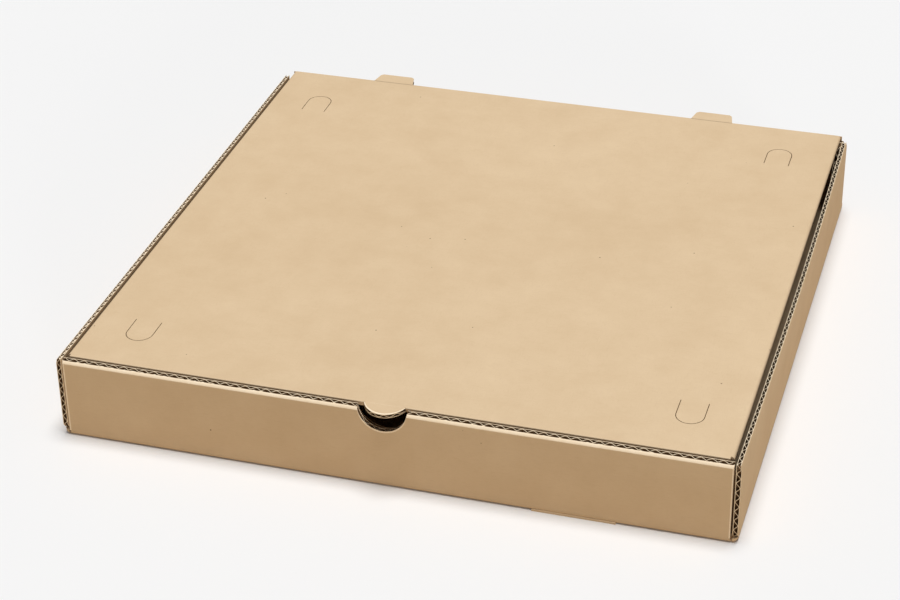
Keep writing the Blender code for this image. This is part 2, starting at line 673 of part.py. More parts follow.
def build_lid(parts, helpers):
    """The lid: top panel, tongue, rear tabs and three flaps, then its slits and flutes."""
    panels = child_collection("lid_panels", helpers)
    cuts = child_collection("lid_cuts", helpers)
    lid = add_object("lid", top_panel_mesh(), parts, helper=False)
    plate("tongue_panel", tongue_outline(), FLAT_XY, LID_UNDER, BOARD, panels)
    for number, centre in enumerate(REAR_TAB_CENTRES):
        plate(f"rear_tab_panel_{number}", rear_tab_outline(centre), FLAT_XY, LID_UNDER, BOARD, panels)
    front_flap(panels, cuts)
    side_flap("left_flap_panel", LID_LEFT, panels)
    side_flap("right_flap_panel", LID_RIGHT - BOARD, panels)
    front_end = LID_FRONT + FRONT_SLIT_TO_FOLD + SLIT_LENGTH
    rear_end = BACK - REAR_SLIT_TO_FOLD - SLIT_LENGTH
    low = LID_UNDER - OVERRUN
    depth = BOARD + 2 * OVERRUN
    for number, centre in enumerate(FRONT_SLIT_CENTRES):
        plate(f"front_slit_cutter_{number}", slit_outline(centre, front_end, -1), FLAT_XY, low, depth, cuts)
    for number, centre in enumerate(REAR_SLIT_CENTRES):
        plate(f"rear_slit_cutter_{number}", slit_outline(centre, rear_end, 1), FLAT_XY, low, depth, cuts)
    boolean(lid, panels, "UNION")
    boolean(lid, cuts, "DIFFERENCE")
    boolean(lid, lid_flutes(helpers), "DIFFERENCE")
    lid.data.materials.append(kraft_material("lid_board"))
    lid.data.transform(Matrix.Translation(-HINGE))
    lid.location = HINGE


def main():
    """Clears the file and builds the box, closed."""
    clear_scene()
    scene = bpy.context.scene.collection
    parts = child_collection("pizza_box", scene)
    helpers = child_collection("construction", scene)
    build_tray(parts, helpers)
    build_lid(parts, helpers)


main()
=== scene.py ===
"""Looks of the pizza box: its papers, folds, flutes and finish, on a pale studio floor.

Lengths are in metres. X runs along the front wall, +Y towards the rear crease and +Z up, with
the origin at the middle of the floor's underside. Each panel of the box is a class that lays
its two liners, its core and the fluted medium that shows at its cut edges.
"""

from __future__ import annotations

import logging
import math
from collections.abc import Callable, Sequence
from dataclasses import dataclass, replace
from enum import Enum
from typing import TypeVar

import bmesh
import bpy
from mathutils import Matrix, Vector, noise

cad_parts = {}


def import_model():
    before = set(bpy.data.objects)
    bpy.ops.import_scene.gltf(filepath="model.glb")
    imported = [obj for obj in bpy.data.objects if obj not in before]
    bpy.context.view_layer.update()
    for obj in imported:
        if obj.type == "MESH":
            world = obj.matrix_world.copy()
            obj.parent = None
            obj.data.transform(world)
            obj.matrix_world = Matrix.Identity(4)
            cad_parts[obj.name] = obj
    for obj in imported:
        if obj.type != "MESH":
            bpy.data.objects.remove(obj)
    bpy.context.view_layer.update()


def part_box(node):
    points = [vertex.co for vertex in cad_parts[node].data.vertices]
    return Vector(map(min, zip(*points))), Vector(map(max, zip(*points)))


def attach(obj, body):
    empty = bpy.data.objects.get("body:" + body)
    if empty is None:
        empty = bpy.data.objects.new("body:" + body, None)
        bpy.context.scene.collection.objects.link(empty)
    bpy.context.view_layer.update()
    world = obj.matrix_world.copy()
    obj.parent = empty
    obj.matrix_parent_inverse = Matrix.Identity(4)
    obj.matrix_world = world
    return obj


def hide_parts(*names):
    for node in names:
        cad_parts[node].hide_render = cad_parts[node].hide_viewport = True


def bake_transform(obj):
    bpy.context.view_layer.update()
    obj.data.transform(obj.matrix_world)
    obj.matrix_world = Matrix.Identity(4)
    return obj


LOG = logging.getLogger("pizza_box")
ARC_STEPS = 40
QUARTER_STEPS = 6
OVERLAP = 0.0002
SMOOTH_BELOW = 32.0
FAR_LINER_SEED = 7.0
MEDIUM_SEED = 3.0

Value = TypeVar("Value")
Colour = tuple[float, float, float]
Along = Callable[[float], float]
Depths = Callable[[float], tuple[float, float]]
Levels = Callable[[float], Sequence[float]]
Place = Callable[[float, float, float], Vector]


class Paper(Enum):
    """The finishes that a face of the board can have, in the order of a mesh's slots."""

    LINER = 0
    # Paler crushed paper at folds and rims and on the strips beside them, lightened further as a
    # painted highlight.
    FOLD = 1
    CUT = 2
    # Darker medium paper, deepened into painted shade inside the board: the medium, the core and
    # the liners' inner faces take it.
    MEDIUM = 3


class Side(Enum):
    """The left and right of the box, as the sign of X."""

    LEFT = -1
    RIGHT = 1


class End(Enum):
    """The front and back of the box, as the sign of Y."""

    FRONT = -1
    BACK = 1


@dataclass(frozen=True)
class SheetLook:
    """Which finish each side of a sheet of paper has.

    pressed counts the strips next to the cut edge whose near face has the pale fold finish, which
    carries a painted highlight.
    """

    near: Paper = Paper.LINER
    far: Paper = Paper.LINER
    edge: Paper = Paper.CUT
    ends: Paper = Paper.CUT
    pressed: int = 0


# The core and the medium take the dark medium finish, painted shade inside the board; the crushed
# rim's top edge takes the pale fold finish with its painted highlight.
CORE_LOOK = SheetLook(Paper.MEDIUM, Paper.MEDIUM, Paper.MEDIUM, Paper.MEDIUM)
CRUSHED_LOOK = SheetLook(Paper.MEDIUM, Paper.MEDIUM, Paper.FOLD, Paper.MEDIUM)
RIBBON_LOOK = SheetLook(Paper.MEDIUM, Paper.MEDIUM, Paper.CUT, Paper.CUT)


def constant(value: Value) -> Callable[[float], Value]:
    """Returns a function of the place along an edge that is the same everywhere."""
    return lambda _: value


def fade(away: float, reach: float) -> float:
    """Returns 1 at no distance, falling evenly to 0 at the reach and staying there."""
    return max(0.0, 1 - away / reach)


def half_chord(radius: float, away: float) -> float:
    """Returns half the chord of a circle at a distance from its middle, or 0 outside it."""
    return math.sqrt(max(0.0, radius**2 - away**2))


def arc(centre: float, radius: float) -> list[float]:
    """Returns places across a circle, closer together towards its sides."""
    return [centre + radius * math.cos(math.pi * step / ARC_STEPS) for step in range(ARC_STEPS + 1)]


def quarter_turn(radius: float) -> list[float]:
    """Returns how far a rounded corner falls back at even turns of it."""
    turns = [math.tau / 4 * step / QUARTER_STEPS for step in range(QUARTER_STEPS + 1)]
    return [radius * (1 - math.cos(turn)) for turn in turns]


def stations(start: float, end: float, step: float, extra: Sequence[float] = ()) -> list[float]:
    """Places from start to end, about a step apart.

    Args:
        start: The first place.
        end: The last place.
        step: The longest distance between two places.
        extra: Further places to include, where they lie between start and end.

    Returns:
        The sorted places.
    """
    count = max(1, math.ceil((end - start) / step))
    places = {start + (end - start) * number / count for number in range(count + 1)}
    places.update(place for place in extra if start < place < end)
    return sorted(places)


def link_object(name: str, data: bpy.types.ID) -> bpy.types.Object:
    """Adds an object to the scene.

    Args:
        name: Its name.
        data: Its mesh, lamp or camera.

    Returns:
        The new object.
    """
    item = bpy.data.objects.new(name, data)
    bpy.context.scene.collection.objects.link(item)
    return item


@dataclass(frozen=True)
class Board:
    """Single-wall corrugated board: its thickness, its three papers and its flutes."""

    thickness: float = 0.0032
    liner: float = 0.00036
    medium: float = 0.00034
    pitch: float = 0.0064
    steps_per_flute: int = 14
    cell_depth: float = 0.012
    wander: float = 0.0006
    wander_length: float = 0.031
    fray: float = 0.00009
    frays_per_flute: float = 2.3

    @property
    def far(self) -> float:
        """The depth of the far liner's inner face."""
        return self.thickness - self.liner

    def ragged(self, place: float, seed: float) -> float:
        """Returns how far a cut edge strays at a place along it."""
        where = Vector((place / self.pitch * self.frays_per_flute, seed, 0.0))
        return self.fray * noise.noise(where)

    def wave(self, place: float, seed: float, arch: float) -> tuple[float, float]:
        """The fluted medium at a place along a cut edge.

        Args:
            place: The place along the edge.
            seed: Tells one edge's irregularities from another's.
            arch: How far the waves are pressed into a row of arches, from 0 to 1.

        Returns:
            The wave's height, from -1 to 1, and its slope, per metre.
        """
        drift = self.wander * noise.noise(Vector((place / self.wander_length, seed, 1.0)))
        phase = math.tau * (place + drift) / self.pitch
        up, across = math.sin(phase / 2), math.cos(phase / 2)
        height = (1 - arch) * -math.cos(phase) + arch * (2 * abs(up) - 1)
        slope = (1 - arch) * math.sin(phase) + arch * math.copysign(across, up * across)
        return height, slope * math.tau / self.pitch


@dataclass(frozen=True)
class BoxSizes:
    """Places of the box's main faces, from the frame's solids and the board."""

    board: Board
    side: float
    back: float
    wall_height: float
    lid_top: float
    lid_left: float
    lid_right: float
    tongue_tip: float
    tab_tip: float
    flap_bottom: float
    end_gap: float = 0.0013
    lid_gap: float = 0.0014
    lid_setback: float = 0.0012
    seat_gap: float = 0.0003
    notch_x: float = -0.0021
    fold_radius: float = 0.0004
    bead: float = 0.0009
    bead_reach: float = 0.0008
    side_lip: float = 0.002
    side_recess: float = 0.0025
    slot_half: float = 0.0154
    tab_shares: tuple[float, float] = (-0.606, 0.533)

    @classmethod
    def from_frame(cls, board: Board) -> BoxSizes:
        """Reads the sizes of the two solids.

        Args:
            board: The board that the box is made of.

        Returns:
            The sizes that every panel is laid out from.
        """
        tray_low, tray_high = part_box("tray")
        lid_low, lid_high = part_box("lid")
        return cls(
            board=board, side=-tray_low[0], back=tray_high[1], wall_height=tray_high[2],
            lid_top=lid_high[2], lid_left=lid_low[0], lid_right=lid_high[0],
            tongue_tip=lid_low[1], tab_tip=lid_high[1], flap_bottom=lid_low[2],
        )

    @property
    def front(self) -> float:
        """The Y of the front wall's outer face."""
        return -self.back

    @property
    def side_inner(self) -> float:
        """The X of a side wall's inner face, on the right."""
        return self.side - self.board.thickness

    @property
    def wall_end(self) -> float:
        """The X of the front wall's right end and of the rear crease's."""
        return self.side_inner - self.end_gap

    @property
    def front_inner(self) -> float:
        """The Y of the front wall's inner face."""
        return self.front + self.board.thickness

    @property
    def back_inner(self) -> float:
        """The Y of the back wall's inner face."""
        return self.back - self.board.thickness

    @property
    def back_top(self) -> float:
        """The Z of the back wall's upper edge."""
        return self.lid_under - self.seat_gap

    @property
    def lid_under(self) -> float:
        """The Z of the lid's underside."""
        return self.lid_top - self.board.thickness

    @property
    def lid_front(self) -> float:
        """The Y of the lid's front fold."""
        return self.front_inner + self.lid_gap

    @property
    def lid_start(self) -> float:
        """The X of the lid's left fold, a little in from the solid's."""
        return self.lid_left + self.lid_setback

    @property
    def tab_centres(self) -> tuple[float, ...]:
        """The X of the two rear tabs' middles, from the left."""
        return tuple(share * self.side for share in self.tab_shares)

    def slot_marks(self, end: float) -> list[float]:
        """Returns the X of a wall's two ends, and of both sides of each slot between them."""
        halves = (-self.slot_half, self.slot_half)
        return [-end, *(centre + half for centre in self.tab_centres for half in halves), end]


class PaperMesh:
    """Collects the papers of one panel in one mesh, each face with its own finish."""

    def __init__(self, name: str) -> None:
        """Starts an empty mesh for the piece of this name."""
        self.name = name
        self.bm = bmesh.new()

    def sheet(
        self, place: Place, along: Sequence[float], depths: Depths, levels: Levels,
        look: SheetLook = SheetLook(),
    ) -> None:
        """Adds one closed sheet of paper.

        Args:
            place: Turns (along, level, depth in the board) into a point.
            along: Places along the sheet's cut edge.
            depths: Depths of the sheet's near and far face, at each place along.
            levels: The levels that the sheet has at each place along, the last at the cut edge.
            look: The finishes of its sides.
        """
        rows = []
        for where in along:
            row = [
                [self.bm.verts.new(place(where, level, depth)) for depth in depths(where)]
                for level in levels(where)
            ]
            rows.append(row)
        strips = len(rows[0]) - 1
        for here, after in zip(rows, rows[1:]):
            for strip in range(strips):
                a, b, c, d = here[strip], here[strip + 1], after[strip + 1], after[strip]
                near = Paper.FOLD if strip >= strips - look.pressed else look.near
                self.face((a[0], b[0], c[0], d[0]), near)
                self.face((a[1], b[1], c[1], d[1]), look.far)
            for level in (0, -1):
                a, b = here[level], after[level]
                self.face((a[0], a[1], b[1], b[0]), look.edge)
        for row in (rows[0], rows[-1]):
            for a, b in zip(row, row[1:]):
                self.face((a[0], a[1], b[1], b[0]), look.ends)

    def face(self, corners: Sequence[bmesh.types.BMVert], paper: Paper) -> None:
        """Adds one face with a finish."""
        self.bm.faces.new(corners).material_index = paper.value

    def block(self, low: Sequence[float], high: Sequence[float]) -> PaperMesh:
        """Adds a block.

        Args:
            low: Its corner with the lowest coordinates.
            high: The opposite corner.

        Returns:
            This mesh.
        """
        corner, size = Vector(low), Vector(high) - Vector(low)
        matrix = Matrix.Translation(corner + size / 2) @ Matrix.Diagonal((*size, 1.0))
        bmesh.ops.create_cube(self.bm, size=1, matrix=matrix)
        return self

    def round_off(
        self, test: Callable[[Vector, Vector], bool], radius: float, paper: Paper = Paper.LINER,
    ) -> None:
        """Rounds some edges.

        Args:
            test: Says from an edge's two ends whether it is rounded.
            radius: The rounding's radius.
            paper: The finish of the new faces.
        """
        edges = [edge for edge in self.bm.edges if test(*(vert.co for vert in edge.verts))]
        bmesh.ops.bevel(
            self.bm, geom=edges, offset=radius, offset_type="OFFSET", segments=6,
            profile=0.5, affect="EDGES", material=paper.value, clamp_overlap=True,
        )

    def to_object(self) -> bpy.types.Object:
        """Makes an object of the mesh, which is used up.

        Returns:
            The new object.
        """
        bmesh.ops.recalc_face_normals(self.bm, faces=self.bm.faces)
        mesh = bpy.data.meshes.new(self.name)
        self.bm.to_mesh(mesh)
        self.bm.free()
        return link_object(self.name, mesh)

    def piece(self, body: str, finishes: FinishSet) -> bpy.types.Object:
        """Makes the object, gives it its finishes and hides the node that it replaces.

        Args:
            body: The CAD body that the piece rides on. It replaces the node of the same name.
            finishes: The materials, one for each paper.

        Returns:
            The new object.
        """
        item = self.to_object()
        item.data.shade_smooth()
        item.data.set_sharp_from_angle(angle=math.radians(SMOOTH_BELOW))
        finishes.dress(item)
        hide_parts(body)
        return item


def cut_away(item: bpy.types.Object, cutter: PaperMesh) -> None:
    """Cuts a closed mesh out of an object for good.

    Args:
        item: The object that is cut.
        cutter: The mesh that is taken away. It is used up.
    """
    tool = cutter.to_object()
    modifier = item.modifiers.new("Cut", "BOOLEAN")
    modifier.operation = "DIFFERENCE"
    modifier.solver = "EXACT"
    modifier.object = tool
    bpy.context.view_layer.update()
    graph = bpy.context.evaluated_depsgraph_get()
    cut = bpy.data.meshes.new_from_object(item.evaluated_get(graph))
    item.modifiers.remove(modifier)
    old, item.data = item.data, cut
    tool_mesh = tool.data
    bpy.data.objects.remove(tool)
    for mesh in (old, tool_mesh):
        bpy.data.meshes.remove(mesh)
    cut.name = item.name


class NodePen:
    """Places and joins shader nodes in one tree."""

    def __init__(self, tree: bpy.types.NodeTree) -> None:
        """Starts on a tree, keeping the nodes that it has."""
        self.tree = tree

    def feed(self, node: bpy.types.Node, inputs: dict[str | int, object]) -> None:
        """Joins sockets to a node's inputs, or sets the inputs' own values.

        Args:
            node: The node.
            inputs: What each input gets, by its name or number.
        """
        for name, value in inputs.items():
            if isinstance(value, bpy.types.NodeSocket):
                self.tree.links.new(value, node.inputs[name])
            else:
                node.inputs[name].default_value = value

    def add(
        self, kind: str, inputs: dict[str | int, object] | None = None, **settings: object,
    ) -> bpy.types.Node:
        """Adds a node.

        Args:
            kind: The node's type name.
            inputs: Values for its sockets, or the output sockets that feed them.
            settings: The node's own properties.

        Returns:
            The new node.
        """
        node = self.tree.nodes.new(kind)
        for name, value in settings.items():
            setattr(node, name, value)
        self.feed(node, inputs or {})
        return node

    def math(self, operation: str, first: object, second: object = 0.0) -> bpy.types.NodeSocket:
        """Adds a Math node and returns its result."""
        return self.add("ShaderNodeMath", {0: first, 1: second}, operation=operation).outputs[0]

    def stretch(
        self, value: object, low: float, high: float, to_low: float = 0.0, to_high: float = 1.0,
    ) -> bpy.types.NodeSocket:
        """Maps a range of values to another, clamped, and returns the result."""
        ends = {"From Min": low, "From Max": high, "To Min": to_low, "To Max": to_high}
        return self.add("ShaderNodeMapRange", {"Value": value, **ends}).outputs[0]

    def noise(
        self, vector: object, scale: object, detail: float, roughness: float = 0.5,
        distortion: float = 0.0,
    ) -> bpy.types.NodeSocket:
        """Adds a Noise Texture node and returns its value."""
        kind = {"Detail": detail, "Roughness": roughness, "Distortion": distortion}
        return self.add("ShaderNodeTexNoise", {"Vector": vector, "Scale": scale, **kind}).outputs[0]

    def mix(self, share: object, first: object, second: object) -> bpy.types.NodeSocket:
        """Mixes two colours and returns the result."""
        inputs = {0: share, 6: first, 7: second}
        return self.add("ShaderNodeMix", inputs, data_type="RGBA").outputs[2]

    def backdrop_mask(self) -> bpy.types.NodeSocket:
        """Adds a mask for the rays that show the background.

        Returns:
            A socket that is 1 for the camera and for glossy and transmission rays, else 0.
        """
        path = self.add("ShaderNodeLightPath")
        seen = self.math("MAXIMUM", path.outputs["Is Camera Ray"], path.outputs["Is Glossy Ray"])
        return self.math("MAXIMUM", seen, path.outputs["Is Transmission Ray"])


def new_group(
    name: str, inputs: dict[str, float], outputs: Sequence[str],
) -> tuple[NodePen, bpy.types.Node, bpy.types.Node]:
    """Starts a shader node group that takes a vector and some numbers.

    Args:
        name: The group's name.
        inputs: Its number sockets and what each is at first.
        outputs: The names of its results.

    Returns:
        A pen for the group's tree, its input node and its output node.
    """
    tree = bpy.data.node_groups.new(name, "ShaderNodeTree")
    face = tree.interface
    face.new_socket("Vector", in_out="INPUT", socket_type="NodeSocketVector")
    for socket, value in inputs.items():
        made = face.new_socket(socket, in_out="INPUT", socket_type="NodeSocketFloat")
        made.default_value = value
    for socket in outputs:
        face.new_socket(socket, in_out="OUTPUT", socket_type="NodeSocketFloat")
    pen = NodePen(tree)
    return pen, pen.add("NodeGroupInput"), pen.add("NodeGroupOutput")


def paper_fibre_group() -> bpy.types.NodeTree:
    """Builds the group for kraft paper: cloudy mottle, fibres, flecks and tooth.

    Returns:
        A group with the masks Mottle, Fibres, Flecks and Tooth, each from 0 to 1.
    """
    broad_factor, broad_share = 5.0, 0.4
    flecks_per_metre, tooth_per_metre = 90.0, 1900.0
    strand_turns = ((0.35, (1.0, 9.0, 9.0)), (-0.6, (1.0, 9.0, 9.0)), (1.25, (9.0, 1.0, 9.0)))
    pen, given, result = new_group(
        "paper_fibres", {"Cloud Size": 0.03, "Fibre Length": 0.004, "Fleck Share": 0.3},
        ("Mottle", "Fibres", "Flecks", "Tooth"),
    )
    vector = given.outputs["Vector"]
    cloud_scale = pen.math("DIVIDE", 1.0, given.outputs["Cloud Size"])
    cloud = pen.noise(vector, cloud_scale, 5.0, roughness=0.62)
    broad = pen.noise(vector, pen.math("DIVIDE", cloud_scale, broad_factor), 2.0)
    cloud = pen.math("MULTIPLY", cloud, 1 - broad_share)
    broad = pen.math("MULTIPLY", broad, broad_share)
    fibre_scale = pen.math("DIVIDE", 1.0, given.outputs["Fibre Length"])
    strands = []
    for turn, longer in strand_turns:
        inputs = {"Vector": vector, "Rotation": (turn, turn / 2, turn), "Scale": longer}
        turned = pen.add("ShaderNodeMapping", inputs).outputs[0]
        strand = pen.noise(turned, fibre_scale, 2.0, distortion=0.25)
        strands.append(pen.stretch(strand, 0.56, 0.72))
    inputs = {"Vector": vector, "Scale": flecks_per_metre, "Randomness": 1.0}
    cells = pen.add("ShaderNodeTexVoronoi", inputs, feature="F1")
    dot = pen.stretch(cells.outputs["Distance"], 0.028, 0.05, 1.0, 0.0)
    chosen = pen.add("ShaderNodeSeparateColor", {"Color": cells.outputs["Color"]}).outputs[0]
    kept = pen.math("LESS_THAN", chosen, given.outputs["Fleck Share"])
    pen.feed(result, {
        "Mottle": pen.stretch(pen.math("ADD", cloud, broad), 0.33, 0.67),
        "Fibres": pen.math("MAXIMUM", pen.math("MAXIMUM", strands[0], strands[1]), strands[2]),
        "Flecks": pen.math("MULTIPLY", dot, kept),
        "Tooth": pen.noise(vector, tooth_per_metre, 3.0, roughness=0.7),
    })
    return pen.tree


def washboard_group() -> bpy.types.NodeTree:
    """Builds the group for the faint ripple that the flutes leave in a liner.

    Returns:
        A group with the number Height, which runs from 0 to 1 across each flute.
    """
    pen, given, result = new_group("flute_washboard", {"Pitch": Board.pitch}, ("Height",))
    parts = pen.add("ShaderNodeSeparateXYZ", {"Vector": given.outputs["Vector"]})
    turns = pen.math("DIVIDE", parts.outputs[0], given.outputs["Pitch"])
    wave = pen.math("SINE", pen.math("MULTIPLY", turns, math.tau))
    pen.feed(result, {"Height": pen.stretch(wave, -1.0, 1.0)})
    return pen.tree


@dataclass(frozen=True)
class KraftFinish:
    """One finish of the kraft paper, as its colours and the strength of its details."""

    name: str
    base: Colour
    cloud: Colour
    fibre: Colour
    fleck: Colour = (0.16, 0.09, 0.05)
    fibre_share: float = 0.25
    fleck_share: float = 0.16
    cloud_size: float = 0.028
    fibre_length: float = 0.005
    roughness: float = 0.82
    roughness_swing: float = 0.1
    tooth: float = 0.35
    tooth_height: float = 0.00006
    washboard: float = 0.0
    specular: float = 0.3

    def material(
        self, fibres: bpy.types.NodeTree, ripple: bpy.types.NodeTree,
    ) -> bpy.types.Material:
        """Builds the material.

        Args:
            fibres: The paper fibre group.
            ripple: The washboard group.

        Returns:
            The new material.
        """
        made = bpy.data.materials.new(self.name)
        made.use_nodes = True
        pen = NodePen(made.node_tree)
        where = pen.add("ShaderNodeTexCoord").outputs["Object"]
        sizes = {"Cloud Size": self.cloud_size, "Fibre Length": self.fibre_length}
        inputs = {"Vector": where, "Fleck Share": self.fleck_share, **sizes}
        paper = pen.add("ShaderNodeGroup", inputs, node_tree=fibres).outputs
        colour = pen.mix(paper["Mottle"], (*self.base, 1.0), (*self.cloud, 1.0))
        strands = pen.math("MULTIPLY", paper["Fibres"], self.fibre_share)
        colour = pen.mix(strands, colour, (*self.fibre, 1.0))
        low, high = self.roughness - self.roughness_swing, self.roughness + self.roughness_swing
        height = pen.math("MULTIPLY", paper["Tooth"], self.tooth)
        height = pen.math("ADD", height, pen.math("MULTIPLY", paper["Fibres"], self.tooth / 2))
        if self.washboard:
            wave = pen.add("ShaderNodeGroup", {"Vector": where}, node_tree=ripple).outputs["Height"]
            height = pen.math("ADD", height, pen.math("MULTIPLY", wave, self.washboard))
        bump = {"Height": height, "Distance": self.tooth_height, "Strength": 1.0}
        pen.feed(made.node_tree.nodes["Principled BSDF"], {
            "Base Color": pen.mix(paper["Flecks"], colour, (*self.fleck, 1.0)),
            "Roughness": pen.stretch(paper["Tooth"], 0.3, 0.7, low, high),
            "Specular IOR Level": self.specular,
            "Normal": pen.add("ShaderNodeBump", bump).outputs[0],
        })
        return made


@dataclass(frozen=True)
class FinishSet:
    """The materials of the box, one for each paper."""

    materials: tuple[bpy.types.Material, ...]

    @classmethod
    def build(cls, finishes: Sequence[KraftFinish]) -> FinishSet:
        """Builds a material for each finish, in the order of Paper."""
        fibres, ripple = paper_fibre_group(), washboard_group()
        return cls(tuple(finish.material(fibres, ripple) for finish in finishes))

    def dress(self, item: bpy.types.Object) -> None:
        """Gives an object the materials, in the order of its faces' slots."""
        for material in self.materials:
            item.data.materials.append(material)


@dataclass(frozen=True)
class FlutedEdge:
    """Board that is laid paper by paper up to one cut edge, where its flutes show.

    The fields that are functions take a place along the edge: edge and foot give the board's
    two levels, reach how deep the flutes show, and near the depth of the near face. place also
    takes a level, which rises towards the cut edge, and a depth in the board. arch is how far
    the flutes are pressed into arches, from 0 to 1.
    """

    board: Board
    place: Place
    seed: float
    edge: Along
    foot: Along = constant(-math.inf)
    reach: Along = constant(Board.cell_depth)
    near: Along = constant(0.0)
    arch: float = 0.0

    def root(self, where: float) -> float:
        """The level where the flutes start at a place."""
        return max(self.foot(where), self.edge(where) - self.reach(where))

    def core(self, where: float) -> tuple[float, float]:
        """The depths of the two liners' inner faces at a place."""
        return self.near(where) + self.board.liner, self.board.far

    def core_levels(self, where: float) -> tuple[float, float]:
        """The core's two levels at a place."""
        return self.foot(where), self.root(where)

    def near_liner(self, where: float) -> tuple[float, float]:
        """The depths of the near liner's two faces at a place."""
        return self.near(where), self.near(where) + self.board.liner

    def medium(self, where: float) -> tuple[float, float]:
        """The depths of the medium's two faces.

        Args:
            where: The place along the cut edge.

        Returns:
            The near face's depth and the far one's, neither inside a liner.
        """
        low, high = self.core(where)
        thickness = self.board.medium
        swing = (high - low) / 2 - thickness / 2
        height, slope = self.board.wave(where, self.seed, self.arch)
        middle = (high + low) / 2 + swing * height
        half = thickness / 2 * math.sqrt(1 + (swing * slope) ** 2)
        return max(low, middle - half), min(high, middle + half)

    def medium_levels(self, where: float) -> tuple[float, float]:
        """The medium's two levels at a place."""
        root, sunk = self.root(where), self.board.ragged(where, self.seed + MEDIUM_SEED)
        return root, max(root + self.board.fray, self.edge(where) - self.board.fray - sunk)

    def liner_levels(self, seed: float, steps: Levels = constant(())) -> Levels:
        """The levels of a liner from the foot to the cut edge, which is a little ragged.

        Args:
            seed: Tells one liner's irregularities from another's.
            steps: Distances below the cut edge of further levels.

        Returns:
            A function that gives the levels at each place.
        """
        def levels(where: float) -> list[float]:
            """The levels at a place."""
            top = self.edge(where) + self.board.ragged(where, seed)
            return [self.foot(where), *(top - step for step in steps(where)), top]

        return levels

    def flutes(self, mesh: PaperMesh, start: float, end: float) -> None:
        """Lays the fluted medium between two places along the cut edge.

        Args:
            mesh: The mesh that it goes into.
            start: The first place.
            end: The last place.
        """
        board = self.board
        step = board.pitch / board.steps_per_flute
        places = stations(start + board.medium, end - board.medium, step)
        mesh.sheet(self.place, places, self.medium, self.medium_levels, RIBBON_LOOK)

    def liners(
        self, mesh: PaperMesh, along: Sequence[float], near: Levels, far: Levels,
        look: SheetLook = SheetLook(),
    ) -> None:
        """Lays the two liners.

        Args:
            mesh: The mesh that they go into.
            along: Places along the cut edge.
            near: The near liner's levels.
            far: The far liner's levels.
            look: The near liner's finishes. The far liner has the same finish at its ends.
        """
        board = self.board
        # The liners' faces towards the flutes take the dark medium finish, painted shade inside the
        # board.
        mesh.sheet(self.place, along, self.near_liner, near, replace(look, far=Paper.MEDIUM))
        outer = constant((board.far, board.thickness))
        mesh.sheet(self.place, along, outer, far, SheetLook(near=Paper.MEDIUM, ends=look.ends))

    def lay(
        self, mesh: PaperMesh, along: Sequence[float], steps: Levels = constant(()),
        look: SheetLook = SheetLook(),
    ) -> None:
        """Lays the whole board from its foot to its cut edge.

        Args:
            mesh: The mesh that the papers go into.
            along: Places along the cut edge.
            steps: Distances below the cut edge of the near liner's pressed strips. The first
                is where the plain face ends.
            look: The near liner's finishes.
        """
        # The pressed strips take the pale fold finish, a painted highlight along the cut edge.
        look = replace(look, pressed=max(0, len(steps(along[0])) - 1))
        far_levels = self.liner_levels(self.seed + FAR_LINER_SEED)
        self.liners(mesh, along, self.liner_levels(self.seed, steps), far_levels, look)
        mesh.sheet(self.place, along, self.core, self.core_levels, CORE_LOOK)
        self.flutes(mesh, along[0], along[-1])


@dataclass(frozen=True)
class Panel:
    """A panel of the box, laid out from its sizes."""

    sizes: BoxSizes

    @property
    def board(self) -> Board:
        """The board that the panel is made of."""
        return self.sizes.board

    def papers(self) -> PaperMesh:
        """Lays the panel's papers, in a mesh with the piece's name."""
        raise NotImplementedError

    def cutters(self) -> list[PaperMesh]:
        """Lists what is cut out of the panel, which for most panels is nothing."""
        return []

    def build(self, body: str, finishes: FinishSet) -> bpy.types.Object:
        """Makes the piece.

        Args:
            body: The CAD body that it belongs to.
            finishes: The materials, one for each paper.

        Returns:
            The new object.
        """
        item = self.papers().piece(body, finishes)
        for cutter in self.cutters():
            cut_away(item, cutter)
        return item


@dataclass(frozen=True)
class Floor(Panel):
    """The floor panel, its bottom edges rounded where the walls fold up."""

    fold_radius: float = 0.0026
    corner_radius: float = 0.004
    slit_floor: float = 0.001

    def papers(self) -> PaperMesh:
        """Lays the floor, with round corners and folds.

        Returns:
            Its mesh.
        """
        sizes, high = self.sizes, self.board.thickness
        corner = (-sizes.side, sizes.front, 0.0)
        mesh = PaperMesh("floor_panel").block(corner, (sizes.side, sizes.back, high))
        mesh.round_off(lambda a, b: a.z != b.z, self.corner_radius)
        mesh.round_off(lambda a, b: max(a.z, b.z) < high / 2, self.fold_radius)
        return mesh

    def cutters(self) -> list[PaperMesh]:
        """Lists the slits between the side walls and the front wall, which run on down.

        Returns:
            The two blocks to cut.
        """
        sizes, thickness = self.sizes, self.board.thickness
        blocks = []
        for side in Side:
            left, right = sorted((side.value * sizes.wall_end, side.value * sizes.side_inner))
            low = (left, sizes.front - thickness, self.slit_floor)
            high = (right, sizes.front_inner, 2 * thickness)
            blocks.append(PaperMesh("slit").block(low, high))
        return blocks


@dataclass(frozen=True)
class FloorLip(Panel):
    """A thin lip of the floor that stands out under the front wall."""

    centre: float = 0.1112
    width: float = 0.0495
    reach: float = 0.0005
    thickness: float = 0.0012
    length: float = 0.006

    def papers(self) -> PaperMesh:
        """Lays the lip and returns its mesh."""
        low = (self.centre - self.width / 2, self.sizes.front - self.reach, 0.0)
        high = (self.centre + self.width / 2, self.sizes.front + self.length, self.thickness)
        return PaperMesh("floor_lip").block(low, high)


